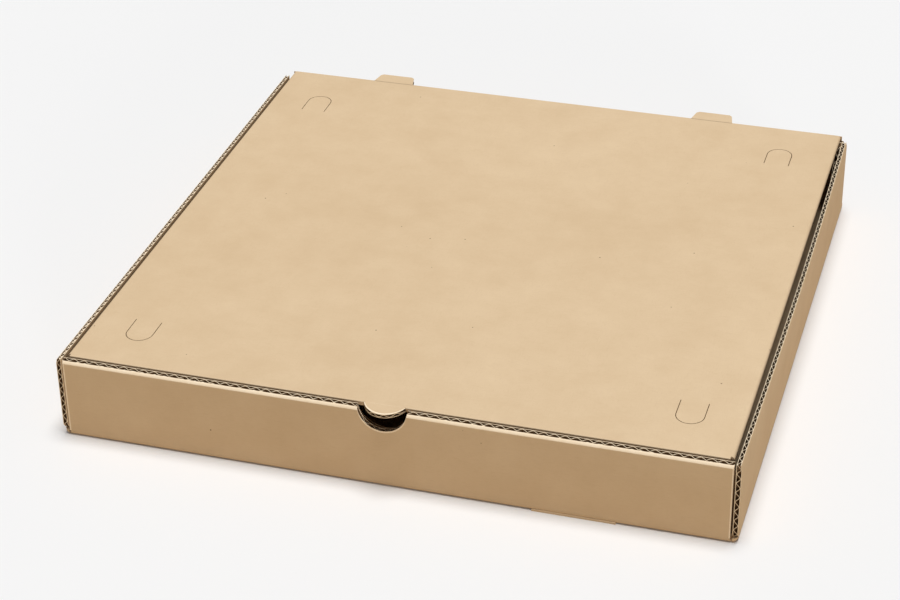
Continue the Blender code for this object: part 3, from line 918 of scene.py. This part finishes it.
@dataclass(frozen=True)
class FrontWall(Panel):
    """The front wall: flutes along its rim and round its half-moon notch."""

    notch_radius: float = 0.01495
    notch_shift: float = -0.00055
    fold_radius: float = 0.0007
    # Width of the pale strip at the left end, the fold's rounding and a flat strip beside it: a
    # painted highlight.
    left_gap: float = 0.0004
    left_highlight_width: float = 0.0013
    ease_in: float = 0.0014
    ease_down: float = 0.0029
    rim_slope: float = 0.0013
    notch_ease_share: float = 0.36
    plain_share: float = 1.15
    ease_steps: int = 5
    arch: float = 0.75
    step: float = 0.0016
    seed: float = 1.0

    @property
    def notch_centre(self) -> float:
        """The X of the notch's middle, a little left of the tongue's."""
        return self.sizes.notch_x + self.notch_shift

    @property
    def ends(self) -> tuple[float, float]:
        """The X of the wall's two ends. The left one is close against its side wall."""
        return self.left_gap - self.sizes.side_inner, self.sizes.wall_end

    def drop(self, x: float) -> float:
        """How far below the rim the notch reaches at x."""
        return half_chord(self.notch_radius, x - self.notch_centre)

    def edge(self, x: float) -> float:
        """The Z of the wall's cut edge at x."""
        return self.sizes.wall_height - self.drop(x)

    def retreat(self, x: float) -> float:
        """How far the rounded outer edge at the wall's ends falls back at x."""
        into = max(0.0, self.fold_radius - min(x - self.ends[0], self.ends[1] - x))
        return self.fold_radius - half_chord(self.fold_radius, into)

    def nearness(self, z: float, edge: float) -> float:
        """How near a height is to an edge: 0 where the pressing starts and 1 at the edge."""
        return min(1.0, fade(edge - z, self.ease_down))

    def place(self, x: float, z: float, depth: float) -> Vector:
        """A point of the wall, its outer top edge pressed in and its rim's cut face sloped.

        Args:
            x: The place along the wall.
            z: The height, before the cut face is sloped.
            depth: Depth in the board, from its outer face.

        Returns:
            The point.
        """
        share = 1 - depth / self.board.thickness
        pressed = self.ease_in * self.nearness(z, self.sizes.wall_height)
        sunk = self.rim_slope * self.nearness(z, self.edge(x)) ** 2
        sunk *= fade(self.drop(x), self.ease_down)
        return Vector((x, self.sizes.front + depth + pressed * share, z - sunk * share))

    def ease_levels(self, x: float) -> list[float]:
        """Distances below the cut edge of the pressed strips at x, less in the notch; the strips
        take the pale fold finish, a painted highlight.
        """
        reach = max(self.ease_down - self.drop(x), self.ease_down * self.notch_ease_share)
        strips = (1 - step / self.ease_steps for step in range(self.ease_steps))
        return [reach * share for share in (self.plain_share, *strips)]

    def papers(self) -> PaperMesh:
        """Lays the wall in three stretches, of which the first and last are its end folds, in the
        pale fold finish with a painted highlight; the first also takes a flat strip of the wall.

        Returns:
            Its mesh.
        """
        left, right = self.ends
        start, stop = left + self.left_highlight_width, right - self.fold_radius
        turns = quarter_turn(self.fold_radius)
        notch = arc(self.notch_centre, self.notch_radius)
        stretches = (
            ([*(left + turn for turn in turns), start], Paper.FOLD),
            (stations(start, stop, self.step, notch), Paper.LINER),
            ([right - turn for turn in reversed(turns)], Paper.FOLD),
        )
        sheet = FlutedEdge(
            self.board, self.place, self.seed, self.edge, constant(self.board.thickness),
            near=self.retreat, arch=self.arch,
        )
        mesh = PaperMesh("front_wall")
        for along, face in stretches:
            # The pressed strips along the rim and the sheets' ends take the pale fold finish, a
            # painted highlight.
            sheet.lay(mesh, along, self.ease_levels, SheetLook(near=face, ends=Paper.FOLD))
        return mesh


@dataclass(frozen=True)
class BackWall(Panel):
    """The back wall, under the lid's crease, with a slot for each rear tab."""

    slot_clearance: float = 0.0008
    step: float = 0.004
    seed: float = 2.0

    @property
    def slot_floor(self) -> float:
        """The Z of the slots' bottom edges, below the swing of the tabs."""
        swing = math.hypot(self.sizes.tab_tip - self.sizes.back, self.board.thickness)
        return self.sizes.lid_top - swing - self.slot_clearance

    def place(self, x: float, z: float, depth: float) -> Vector:
        """A point of the wall, whose near face is its outer one."""
        return Vector((x, self.sizes.back - depth, z))

    def papers(self) -> PaperMesh:
        """Lays the wall in stretches of equal height.

        Returns:
            Its mesh.
        """
        mesh = PaperMesh("back_wall")
        marks = self.sizes.slot_marks(self.sizes.side_inner)
        foot = constant(self.board.thickness)
        for number, (start, end) in enumerate(zip(marks, marks[1:])):
            height = constant(self.slot_floor if number % 2 else self.sizes.back_top)
            sheet = FlutedEdge(self.board, self.place, self.seed, height, foot)
            sheet.lay(mesh, stations(start, end, self.step), look=SheetLook(ends=Paper.LINER))
        return mesh


@dataclass(frozen=True)
class SideWall(Panel):
    """A side wall: raw cut edges along its rim and up both ends. The right one bows out."""

    side: Side
    rear_setback: float = 0.007
    bow: float = 0.0016
    press_in: float = 0.0007
    press_down: float = 0.003
    open_rim: float = 0.005
    crushed_rim: float = 0.0011
    end_depth: float = 0.002
    clip: float = 0.0032
    clip_height: float = 0.005
    clip_reach: float = 0.009
    clip_steps: int = 5
    step: float = 0.0032
    core_step: float = 0.003
    seed: float = 3.0
    end_seed: float = 10.0

    @property
    def rear(self) -> float:
        """The Y of the wall's rear end."""
        return self.sizes.back - self.rear_setback

    @property
    def rim_depth(self) -> float:
        """How deep the flutes show at the rim, which is crushed nearly flat on the left."""
        return self.crushed_rim if self.side is Side.LEFT else self.open_rim

    def bow_at(self, y: float, z: float) -> float:
        """How far the wall leans out.

        Args:
            y: The place along the wall.
            z: The height.

        Returns:
            The lean, which is 0 on the left.
        """
        if self.side is Side.LEFT:
            return 0.0
        foot = self.board.thickness
        share = (y - self.sizes.front) / (self.rear - self.sizes.front)
        rise = (z - foot) / (self.sizes.wall_height - foot)
        return self.bow * rise * math.sin(math.pi * share)

    def place(self, y: float, z: float, depth: float) -> Vector:
        """A point of the wall, whose near face is its outer one. The front foot is clipped.

        Args:
            y: The place along the wall.
            z: The height.
            depth: Depth in the board, from its outer face.

        Returns:
            The point.
        """
        sizes, thickness = self.sizes, self.board.thickness
        pressed = self.press_in * fade(sizes.wall_height - z, self.press_down)
        out = sizes.side - depth - pressed * (1 - depth / thickness)
        low = fade(z - thickness, self.clip_height)
        clipped = self.clip * low**2 * fade(y - sizes.front, self.clip_reach)
        return Vector((self.side.value * out + self.bow_at(y, z), y + clipped, z))

    def mitred(self, away: float, depth: float) -> float:
        """How far flutes reach in at a distance from the corner, where two edges' flutes meet."""
        return min(depth, max(2 * self.board.fray, away))

    def rim_reach(self, y: float) -> float:
        """How deep the rim's flutes show at y."""
        return self.mitred(min(y - self.sizes.front, self.rear - y), self.rim_depth)

    def end_reach(self, z: float) -> float:
        """How deep the flutes at the wall's ends show at a height."""
        return self.mitred(self.sizes.wall_height - z, self.end_depth)

    def papers(self) -> PaperMesh:
        """Lays the wall, with flutes along its rim and up both its ends.

        Returns:
            Its mesh.
        """
        board, foot, top = self.board, self.board.thickness, self.sizes.wall_height
        front, rear = self.sizes.front, self.rear
        seed = self.seed + self.side.value
        steps = range(self.clip_steps + 1)
        low = [foot + self.clip_height * step / self.clip_steps for step in steps]

        def liner_levels(liner_seed: float) -> Levels:
            """The levels of a liner, finer at its clipped foot."""
            inner = (*low, top / 2, top - self.press_down)
            return lambda y: (*inner, top + board.ragged(y, liner_seed))

        mesh = PaperMesh(f"{self.side.name.lower()}_side_wall")
        rim = FlutedEdge(board, self.place, seed, constant(top), reach=self.rim_reach)
        levels = liner_levels(seed), liner_levels(seed + FAR_LINER_SEED)
        rim.liners(mesh, stations(front, rear, self.step), *levels)
        core = stations(front + self.end_depth, rear - self.end_depth, self.core_step)
        # The left wall's crushed core has a pale top edge, the fold finish with its painted
        # highlight; the right one's core takes the dark medium finish, painted shade.
        look = CRUSHED_LOOK if self.side is Side.LEFT else CORE_LOOK
        mesh.sheet(self.place, core, rim.core, constant((*low, top - self.rim_depth)), look)
        rim.flutes(mesh, front, rear)
        for end, heading in ((front, -1), (rear, 1)):
            upright = FlutedEdge(
                board, lambda z, out, depth, heading=heading: self.place(heading * out, z, depth),
                seed + self.end_seed * heading, constant(heading * end), reach=self.end_reach,
            )
            upright.flutes(mesh, foot, top)
        return mesh


@dataclass(frozen=True)
class CornerTab(Panel):
    """A tab folded back from an end of the front or back wall, inside the side wall."""

    side: Side
    end: End
    reach: float = 0.038
    foot: float = 0.0042
    head_drop: float = 0.0057
    slope_run: float = 0.022
    knee_share: float = 0.49
    end_share: float = 0.42
    corner: float = 0.004
    step: float = 0.0016
    seed: float = 5.0

    @property
    def high(self) -> float:
        """The Z of the tab's upper edge at the fold."""
        return self.sizes.wall_height - self.head_drop

    @property
    def knee(self) -> float:
        """The Z of the upper edge where its slope gets gentle."""
        return self.foot + (self.high - self.foot) * self.knee_share

    def place(self, run: float, z: float, depth: float) -> Vector:
        """A point of the tab. run is the distance from the wall that it folds from."""
        start = self.sizes.front_inner if self.end is End.FRONT else self.sizes.back_inner
        x = self.side.value * (self.sizes.wall_end - depth)
        return Vector((x, start - self.end.value * run, z))

    def head(self, run: float) -> float:
        """The Z of the tab's upper edge.

        Args:
            run: The distance from the wall that the tab folds from.

        Returns:
            The height there.
        """
        if run < self.slope_run:
            return self.high + (self.knee - self.high) * run / self.slope_run
        tip = self.foot + (self.high - self.foot) * self.end_share
        share = (run - self.slope_run) / (self.reach - self.slope_run)
        return self.knee + (tip - self.knee) * share

    def low(self, run: float) -> float:
        """The Z of the tab's lower edge, rounded at the tip."""
        into = max(0.0, run - (self.reach - self.corner))
        return self.foot + self.corner - half_chord(self.corner, into)

    def papers(self) -> PaperMesh:
        """Lays the tab.

        Returns:
            Its mesh.
        """
        mesh = PaperMesh(f"{self.end.name.lower()}_{self.side.name.lower()}_corner_tab")
        extra = [self.slope_run, *(self.reach - turn for turn in quarter_turn(self.corner))]
        seed = self.seed + self.side.value + 2 * self.end.value
        sheet = FlutedEdge(self.board, self.place, seed, self.head, self.low)
        sheet.lay(mesh, stations(0.0, self.reach, self.step, extra))
        return mesh


@dataclass(frozen=True)
class LidPanel(Panel):
    """The lid's top panel: folded on three sides, creased at the rear, with four slits.

    The front fold is a bead of bent liner that stands out a little over the flap below it,
    and each side fold is round, with a lip over its flap.
    """

    side_radius: float = 0.0022
    relief: float = 0.0022
    slit_half_width: float = 0.0083
    slit_length: float = 0.0228
    slit_kerf: float = 0.0005
    slit_steps: int = 20
    front_insets: tuple[float, float] = (0.0375, 0.0373)
    rear_insets: tuple[float, float] = (0.0392, 0.0416)
    front_reaches: tuple[float, float] = (0.0263, 0.0275)
    rear_reaches: tuple[float, float] = (0.0347, 0.0305)

    def papers(self) -> PaperMesh:
        """Lays the panel, with its folds rounded.

        Returns:
            Its mesh.
        """
        sizes = self.sizes
        corner = (sizes.lid_start, sizes.lid_front, sizes.lid_under)
        opposite = (sizes.lid_right, sizes.back, sizes.lid_top)
        mesh = PaperMesh("lid_top_panel").block(corner, opposite)
        upper = sizes.lid_under + sizes.bead
        mesh.round_off(lambda a, b: min(a.z, b.z) > upper and a.x == b.x, self.side_radius)
        # The front and rear fold roundings take the pale fold finish, a painted highlight along the
        # bead.
        upper = sizes.lid_top - sizes.bead
        mesh.round_off(
            lambda a, b: (b - a).length > sizes.side and min(a.z, b.z) > upper and a.y == b.y,
            sizes.fold_radius, Paper.FOLD,
        )
        return mesh

    def cutters(self) -> list[PaperMesh]:
        """Lists the spaces under the folds, the die's relief at each front corner, and the slits.

        Returns:
            The meshes to cut, in order.
        """
        sizes, margin = self.sizes, self.board.thickness
        start, stop, front = sizes.lid_start, sizes.lid_right, sizes.lid_front
        low, bead = sizes.lid_under - margin, sizes.lid_top - sizes.bead
        bead_end = (stop + margin, front + sizes.bead_reach, bead)
        blocks = [((start - margin, front - margin), bead_end)]
        for edge in (start, stop):
            lip, relief = sizes.side_recess, self.relief
            lip_end = (edge + lip, sizes.back + margin, sizes.lid_top - sizes.side_lip)
            blocks.append(((edge - lip, sizes.front - margin), lip_end))
            relief_end = (edge + relief, front + relief, sizes.lid_top + margin)
            blocks.append(((edge - relief, front - margin), relief_end))
        meshes = [PaperMesh("cutter").block((*corner, low), high) for corner, high in blocks]
        rows = (
            (front, -1, self.front_insets, self.front_reaches),
            (sizes.back, 1, self.rear_insets, self.rear_reaches),
        )
        for edge, heading, insets, reaches in rows:
            centres = (insets[0] - sizes.side, sizes.side - insets[1])
            for centre, reach in zip(centres, reaches):
                end = edge - heading * (reach + self.slit_length)
                meshes.append(self.slit(centre, end, heading))
        return meshes

    def slit(self, centre: float, end: float, heading: int) -> PaperMesh:
        """A U-shaped kerf to cut.

        Args:
            centre: The X of its middle.
            end: The Y of its legs' ends.
            heading: 1 where the arc is behind the legs' ends, -1 where it is in front.

        Returns:
            The kerf as a closed mesh through the lid.
        """
        middle = end + heading * (self.slit_length - self.slit_half_width)
        path = [(self.slit_half_width, end, Vector((1.0, 0.0)))]
        for step in range(self.slit_steps + 1):
            turn = math.pi * step / self.slit_steps
            out = Vector((math.cos(turn), heading * math.sin(turn)))
            path.append((self.slit_half_width * out.x, middle + self.slit_half_width * out.y, out))
        path.append((-self.slit_half_width, end, Vector((-1.0, 0.0))))

        def place(step: float, z: float, across: float) -> Vector:
            """A point of the kerf, from its step along the path and its distance across it."""
            x, y, out = path[int(step)]
            return Vector((centre + x + out.x * across, y + out.y * across, z))

        half, margin = self.slit_kerf / 2, self.board.thickness
        levels = constant((self.sizes.lid_under - margin, self.sizes.lid_top + margin))
        mesh = PaperMesh("slit_kerf")
        mesh.sheet(place, range(len(path)), constant((-half, half)), levels)
        return mesh


@dataclass(frozen=True)
class Tongue(Panel):
    """The tongue over the notch: the top panel's board run on past the front fold.

    It is pressed thinner than the rest of the board and sags a little at its tip.
    """

    half_width: float = 0.01245
    thickness: float = 0.0025
    sag: float = 0.0007
    # Width of the pale rim along the cut edge, a painted highlight.
    rim: float = 0.001
    plain_share: float = 1.2
    depth: float = 0.007
    arch: float = 0.3
    step: float = 0.001
    seed: float = 11.0

    @property
    def longest(self) -> float:
        """How far the tongue sticks out in front of the fold at its tip."""
        return self.sizes.lid_front - self.sizes.tongue_tip

    def place(self, x: float, out: float, depth: float) -> Vector:
        """A point of the tongue, whose near face is its upper one. out is minus its Y."""
        share = max(0.0, out + self.sizes.lid_front) / self.longest
        return Vector((x, -out, self.sizes.lid_top - depth - self.sag * share**2))

    def reach(self, x: float) -> float:
        """How far the tongue sticks out in front of the fold at x."""
        radius = (self.half_width**2 + self.longest**2) / (2 * self.longest)
        return half_chord(radius, x - self.sizes.notch_x) - (radius - self.longest)

    def rim_levels(self, x: float) -> tuple[float, float]:
        """Distances behind the cut edge where the plain face ends and the pale rim, a painted
        highlight, starts.
        """
        rim = min(self.rim, self.reach(x) / 2 + self.sizes.fold_radius / 2)
        return rim * self.plain_share, rim

    def papers(self) -> PaperMesh:
        """Lays the tongue.

        Returns:
            Its mesh.
        """
        middle, half, fold = self.sizes.notch_x, self.half_width, self.sizes.lid_front
        along = stations(middle - half, middle + half, self.step, arc(middle, half))
        sheet = FlutedEdge(
            replace(self.board, thickness=self.thickness), self.place, self.seed,
            lambda x: self.reach(x) - fold, constant(-fold - self.sizes.fold_radius),
            constant(self.depth), arch=self.arch,
        )
        mesh = PaperMesh("tongue")
        sheet.lay(mesh, along, self.rim_levels)
        return mesh


@dataclass(frozen=True)
class RearTab(Panel):
    """A tab in the lid's plane that sticks out behind the rear crease."""

    side: Side
    centre: float
    half_base: float = 0.0146
    half_tip: float = 0.0117
    corner: float = 0.0018
    step: float = 0.0012
    seed: float = 12.0

    @property
    def clip(self) -> tuple[float, float]:
        """The distances from the tab's middle where its clipped corner starts and ends."""
        return self.half_tip - self.corner / 2, self.half_tip + self.corner / 2

    def place(self, x: float, y: float, depth: float) -> Vector:
        """A point of the tab, whose near face is its upper one."""
        return Vector((x, y, self.sizes.lid_top - depth))

    def edge(self, x: float) -> float:
        """The Y of the tab's outline.

        Args:
            x: The place across the tab.

        Returns:
            The outline's Y there.
        """
        away, tip = abs(x - self.centre), self.sizes.tab_tip
        start, shoulder = self.clip
        if away <= shoulder:
            return tip - max(0.0, away - start)
        slant = (away - shoulder) / (self.half_base - shoulder)
        return (tip - self.corner) + (self.sizes.back - (tip - self.corner)) * slant

    def papers(self) -> PaperMesh:
        """Lays the tab.

        Returns:
            Its mesh.
        """
        centre, half = self.centre, self.half_base
        marks = [centre + sign * away for away in self.clip for sign in (-1, 1)]
        foot = constant(self.sizes.back - self.sizes.fold_radius)
        mesh = PaperMesh(f"{self.side.name.lower()}_rear_tab")
        sheet = FlutedEdge(self.board, self.place, self.seed + self.side.value, self.edge, foot)
        sheet.lay(mesh, stations(centre - half, centre + half, self.step, marks))
        return mesh


@dataclass(frozen=True)
class FrontFlap(Panel):
    """The flap that tucks behind the front wall, leaning in, with its finger opening."""

    lean: float = 0.003
    end_clearance: float = 0.001
    taper: float = 0.006
    corner: float = 0.004
    opening_radius: float = 0.0188
    step: float = 0.003
    seed: float = 15.0

    @property
    def ends(self) -> tuple[float, float]:
        """The X of the flap's two ends."""
        tab = self.sizes.wall_end - self.board.thickness
        inset = self.board.thickness + self.sizes.side_recess
        left = max(self.sizes.lid_start + inset, -tab) + self.end_clearance
        return left, min(self.sizes.lid_right - inset, tab) - self.end_clearance

    def place(self, x: float, down: float, depth: float) -> Vector:
        """A point of the flap.

        Args:
            x: The place along the flap.
            down: Minus the point's Z.
            depth: Depth in the board, from its outer face.

        Returns:
            The point.
        """
        sizes = self.sizes
        drop = max(0.0, sizes.lid_under + down)
        leant = self.lean * drop / (sizes.lid_under - sizes.flap_bottom)
        return Vector((x, sizes.lid_front + sizes.bead_reach + depth + leant, -down))

    def edge(self, x: float) -> float:
        """The flap's lower edge, which is tapered and clipped at its ends.

        Args:
            x: The place along the flap.

        Returns:
            Minus the edge's Z.
        """
        bottom, top = self.sizes.flap_bottom, self.sizes.lid_under
        into = min(x - self.ends[0], self.ends[1] - x)
        if into >= self.taper:
            return -(bottom + max(0.0, self.corner - (into - self.taper)))
        return -(top + (bottom + self.corner - top) * into / self.taper)

    def root(self, x: float) -> float:
        """Minus the Z of the flap's upper edge: its crease, or the finger opening."""
        opened = half_chord(self.opening_radius, x - self.sizes.notch_x)
        return -min(self.sizes.lid_under, self.sizes.wall_height - opened)

    def papers(self) -> PaperMesh:
        """Lays the flap.

        Returns:
            Its mesh.
        """
        left, right = self.ends
        inward = (self.taper, self.taper + self.corner)
        extra = arc(self.sizes.notch_x, self.opening_radius)
        extra += [left + away for away in inward] + [right - away for away in inward]
        mesh = PaperMesh("front_tuck_flap")
        sheet = FlutedEdge(self.board, self.place, self.seed, self.edge, self.root)
        sheet.lay(mesh, stations(left + OVERLAP, right - OVERLAP, self.step, extra))
        return mesh


@dataclass(frozen=True)
class SideFlap(Panel):
    """A flap of the lid that hangs inside a side wall, with ends that slant along its tabs."""

    side: Side
    foot_share: float = 0.5
    clearance: float = 0.0045
    depth: float = 0.006
    lean: float = 0.0045
    step: float = 0.02
    seed: float = 16.0

    @property
    def bottom(self) -> float:
        """The Z of the flap's lower edge."""
        return self.sizes.wall_height * self.foot_share

    @property
    def runs(self) -> tuple[float, float]:
        """Distances of the slanted ends from the walls, at the flap's crease and its foot."""
        return self.end_run(self.sizes.lid_under), self.end_run(self.bottom)

    def place(self, y: float, down: float, depth: float) -> Vector:
        """A point of the flap, which leans in.

        Args:
            y: The place along the flap.
            down: Minus the point's Z.
            depth: Depth in the board, from its outer face.

        Returns:
            The point.
        """
        sizes = self.sizes
        edge = sizes.lid_start if self.side is Side.LEFT else sizes.lid_right
        leant = self.lean * (sizes.lid_under + down) / (sizes.lid_under - self.bottom)
        return Vector((edge - self.side.value * (sizes.side_recess + leant + depth), y, -down))

    def end_run(self, z: float) -> float:
        """Distance of the slanted end from the wall's inner face at a height."""
        tab = CornerTab(self.sizes, self.side, End.FRONT)
        return (tab.high - z) * tab.slope_run / (tab.high - tab.knee) + self.clearance

    def outline(self, y: float, inset: float = 0.0) -> float:
        """The flap's lower outline, or one set in from its slanted ends.

        Args:
            y: The place along the flap.
            inset: How far it is set in.

        Returns:
            Minus the outline's Z.
        """
        near, far = self.runs
        into = min(y - self.sizes.front_inner, self.sizes.back_inner - y) - inset
        share = min(1.0, max(0.0, (into - near) / (far - near)))
        return -(self.sizes.lid_under + (self.bottom - self.sizes.lid_under) * share)

    def levels(self, inset: float = 0.0) -> Levels:
        """Returns a function for a sheet's levels, from the crease to the outline."""
        return lambda y: (-self.sizes.lid_under - OVERLAP, self.outline(y, inset))

    def along(self, inset: float = 0.0) -> list[float]:
        """Places along the flap.

        Args:
            inset: How far the ends are set in.

        Returns:
            The places, with one at each end of the slants.
        """
        near, far = self.runs
        low, high = self.sizes.front_inner + inset, self.sizes.back_inner - inset
        return stations(low + near, high - near, self.step, (low + far, high - far))

    def papers(self) -> PaperMesh:
        """Lays the flap, with flutes at its two slanted ends.

        Returns:
            Its mesh.
        """
        board, top = self.board, self.sizes.lid_under
        mesh = PaperMesh(f"{self.side.name.lower()}_tuck_flap")
        sheet = FlutedEdge(board, self.place, self.seed, constant(-top))
        levels, core_levels = self.levels(), self.levels(self.depth)
        sheet.liners(mesh, self.along(), levels, levels)
        mesh.sheet(self.place, self.along(self.depth), sheet.core, core_levels, CORE_LOOK)
        for end, heading in ((self.sizes.front_inner, -1), (self.sizes.back_inner, 1)):
            slanted = FlutedEdge(
                board, lambda z, out, depth, heading=heading: self.place(heading * out, -z, depth),
                self.seed + self.side.value + heading / 2,
                lambda z, level=heading * end: level - self.end_run(z), reach=constant(self.depth),
            )
            slanted.flutes(mesh, self.bottom, top)
        return mesh


@dataclass(frozen=True)
class RearCrease(Panel):
    """The crease between the back wall and the lid: a strip of the outer liner up the back, from
    under the back wall's top to the lid's top.
    """

    lap: float = 0.0025
    proud: float = 0.00012
    bend_steps: int = 8
    step: float = 0.05

    @property
    def bend(self) -> float:
        """The Z where the crease has turned into the lid's top face."""
        return self.sizes.lid_top - self.sizes.fold_radius

    def place(self, x: float, z: float, depth: float) -> Vector:
        """A point of the crease, whose near face is its outer one."""
        return Vector((x, self.sizes.back + self.proud - depth, z))

    def papers(self) -> PaperMesh:
        """Lays the crease in three stretches beside the slots.

        Returns:
            Its mesh.
        """
        low, high = self.sizes.back_top, self.bend + self.proud
        rises = [low + (high - low) * step / self.bend_steps for step in range(self.bend_steps + 1)]
        levels = constant((low - self.lap, *rises))
        marks = self.sizes.slot_marks(self.sizes.wall_end)
        depths, look = constant((0.0, self.board.liner)), SheetLook(edge=Paper.LINER)
        mesh = PaperMesh("rear_crease")
        for first, last in zip(marks[::2], marks[1::2]):
            mesh.sheet(self.place, stations(first, last, self.step), depths, levels, look)
        return mesh

    def build(self, body: str, finishes: FinishSet) -> bpy.types.Object:
        """Makes the piece and bakes its transform into its mesh.

        Args:
            body: The CAD body that it starts on.
            finishes: The materials, one for each paper.

        Returns:
            The new object.
        """
        crease, back = super().build(body, finishes), self.sizes.back
        self.sizes.back_top
        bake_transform(crease)
        return crease


def outward(azimuth: float, elevation: float) -> Vector:
    """The direction away from the box at two angles.

    Args:
        azimuth: The turn from straight in front towards the right, in degrees.
        elevation: The angle above the floor, in degrees.

    Returns:
        A vector of length 1.
    """
    around, above = math.radians(azimuth), math.radians(elevation)
    level = Vector((math.sin(around), -math.cos(around), 0.0))
    return level * math.cos(above) + Vector((0.0, 0.0, math.sin(above)))


@dataclass(frozen=True)
class Lamp:
    """A distant lamp. Its azimuth turns from the front towards the right, in degrees."""

    name: str
    level: float
    spread: float
    azimuth: float
    elevation: float
    distance: float = 2.0

    def build(self) -> None:
        """Adds the lamp."""
        data = bpy.data.lights.new(self.name, "SUN")
        data.energy = self.level
        data.angle = math.radians(self.spread)
        towards = outward(self.azimuth, self.elevation)
        lamp = link_object(self.name, data)
        lamp.rotation_euler = towards.to_track_quat("Z", "Y").to_euler()
        lamp.location = towards * self.distance


@dataclass(frozen=True)
class Studio:
    """A pale floor, a soft overhead light, a weak low fill and the photographer's camera."""

    floor_half: float = 6.0
    backdrop: float = 0.913
    floor_tone: float = 0.875
    bounce_tone: Colour = (0.62, 0.47, 0.30)
    sky_level: float = 0.20
    lamps: tuple[Lamp, ...] = (
        Lamp("overhead", 2.61, 26.0, 120.0, 87.0), Lamp("low_fill", 0.57, 12.0, 31.0, 6.0),
    )
    azimuth: float = 16.963
    elevation: float = 31.345
    roll: float = -0.884
    distance: float = 1.5346
    lens: float = 92.93
    target: tuple[float, float, float] = (-0.02475, 0.00744, 0.0)

    def build(self) -> None:
        """Builds the floor, the lights and the camera."""
        self.add_floor()
        self.add_sky()
        for lamp in self.lamps:
            lamp.build()
        self.add_camera()
        bpy.context.scene.view_settings.view_transform = "Standard"

    def add_floor(self) -> None:
        """Adds the floor, which the camera sees a little paler than the box does."""
        mesh = bpy.data.meshes.new("studio_floor")
        bm = bmesh.new()
        bmesh.ops.create_grid(bm, x_segments=1, y_segments=1, size=self.floor_half)
        bm.to_mesh(mesh)
        bm.free()
        made = bpy.data.materials.new("studio_floor")
        made.use_nodes = True
        pen = NodePen(made.node_tree)
        seen = (self.floor_tone, self.floor_tone, self.floor_tone, 1.0)
        tone = pen.mix(pen.backdrop_mask(), (*self.bounce_tone, 1.0), seen)
        inputs = {"Base Color": tone, "Roughness": 1.0, "Specular IOR Level": 0.0}
        pen.feed(made.node_tree.nodes["Principled BSDF"], inputs)
        mesh.materials.append(made)
        floor = link_object("studio_floor", mesh)

    def add_sky(self) -> None:
        """Adds the even light from all round. The camera sees it as a pale backdrop."""
        world = bpy.data.worlds.new("studio_sky")
        bpy.context.scene.world = world
        world.use_nodes = True
        pen = NodePen(world.node_tree)
        strength = pen.stretch(pen.backdrop_mask(), 0.0, 1.0, self.sky_level, self.backdrop)
        inputs = {"Color": (1.0, 1.0, 1.0, 1.0), "Strength": strength}
        pen.feed(world.node_tree.nodes["Background"], inputs)

    def add_camera(self) -> None:
        """Adds the camera at the photograph's angle, with its slight roll."""
        back = outward(self.azimuth, self.elevation)
        level = Vector((0.0, 0.0, 1.0)).cross(back).normalized()
        upright = back.cross(level)
        tilt = math.radians(self.roll)
        right = level * math.cos(tilt) + upright * math.sin(tilt)
        up = upright * math.cos(tilt) - level * math.sin(tilt)
        data = bpy.data.cameras.new("photo_camera")
        data.lens = self.lens
        data.sensor_width = 36.0
        data.sensor_fit = "HORIZONTAL"
        data.clip_start = 0.01
        camera = link_object("photo_camera", data)
        turn = Matrix((right, up, back)).transposed().to_4x4()
        camera.matrix_world = Matrix.Translation(Vector(self.target) + back * self.distance) @ turn
        bpy.context.scene.camera = camera


FINISHES = (
    KraftFinish(
        name="kraft_liner", base=(0.655, 0.481, 0.295), cloud=(0.725, 0.55, 0.353),
        fibre=(0.60, 0.43, 0.255), washboard=0.35,
    ),
    # Paler crushed paper for folds and rims, lightened further as a painted highlight.
    KraftFinish(
        name="kraft_fold_highlight", base=(0.93, 0.76, 0.54), cloud=(0.99, 0.84, 0.64),
        fibre=(0.84, 0.65, 0.43), fleck_share=0.05, cloud_size=0.006, tooth=0.6,
    ),
    KraftFinish(
        name="kraft_cut_edge", base=(0.88, 0.70, 0.48), cloud=(0.96, 0.82, 0.61),
        fibre=(0.72, 0.53, 0.33), fleck_share=0.0, cloud_size=0.002, fibre_length=0.0015,
        tooth=0.9, roughness=0.9, roughness_swing=0.06,
    ),
    # Darker medium paper, deepened to near black as painted shade inside the flutes and the board.
    KraftFinish(
        name="kraft_medium_shade", base=(0.15, 0.078, 0.032), cloud=(0.20, 0.11, 0.05),
        fibre=(0.11, 0.055, 0.024), fleck_share=0.1, cloud_size=0.008, tooth=0.6,
        roughness=0.9, roughness_swing=0.06, specular=0.08,
    ),
)


def tray_panels(sizes: BoxSizes) -> list[Panel]:
    """Lists the panels of the tray."""
    walls = [FrontWall(sizes), BackWall(sizes), *(SideWall(sizes, side) for side in Side)]
    tabs = [CornerTab(sizes, side, end) for side in Side for end in End]
    return [Floor(sizes), FloorLip(sizes), *walls, *tabs]


def lid_panels(sizes: BoxSizes) -> list[Panel]:
    """Lists the panels of the lid."""
    tabs = [RearTab(sizes, side, centre) for side, centre in zip(Side, sizes.tab_centres)]
    flaps = [SideFlap(sizes, side) for side in Side]
    return [LidPanel(sizes), Tongue(sizes), FrontFlap(sizes), *tabs, *flaps]


def main() -> None:
    """Builds the box over its frame, then the studio, and logs each piece's face count."""
    logging.basicConfig(level=logging.INFO, format="%(name)s: %(message)s")
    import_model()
    sizes = BoxSizes.from_frame(Board())
    finishes = FinishSet.build(FINISHES)
    for body, panels in (("tray", tray_panels(sizes)), ("lid", lid_panels(sizes))):
        for panel in panels:
            piece = panel.build(body, finishes)
            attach(piece, body)
            faces = len(piece.data.polygons)
            LOG.info("%s rides on the %s, with %d faces", piece.name, body, faces)
    crease = RearCrease(sizes).build("tray", finishes)
    LOG.info("%s bends with the lid, with %d faces", crease.name, len(crease.data.polygons))
    Studio().build()


if __name__ == "__main__":
    main()
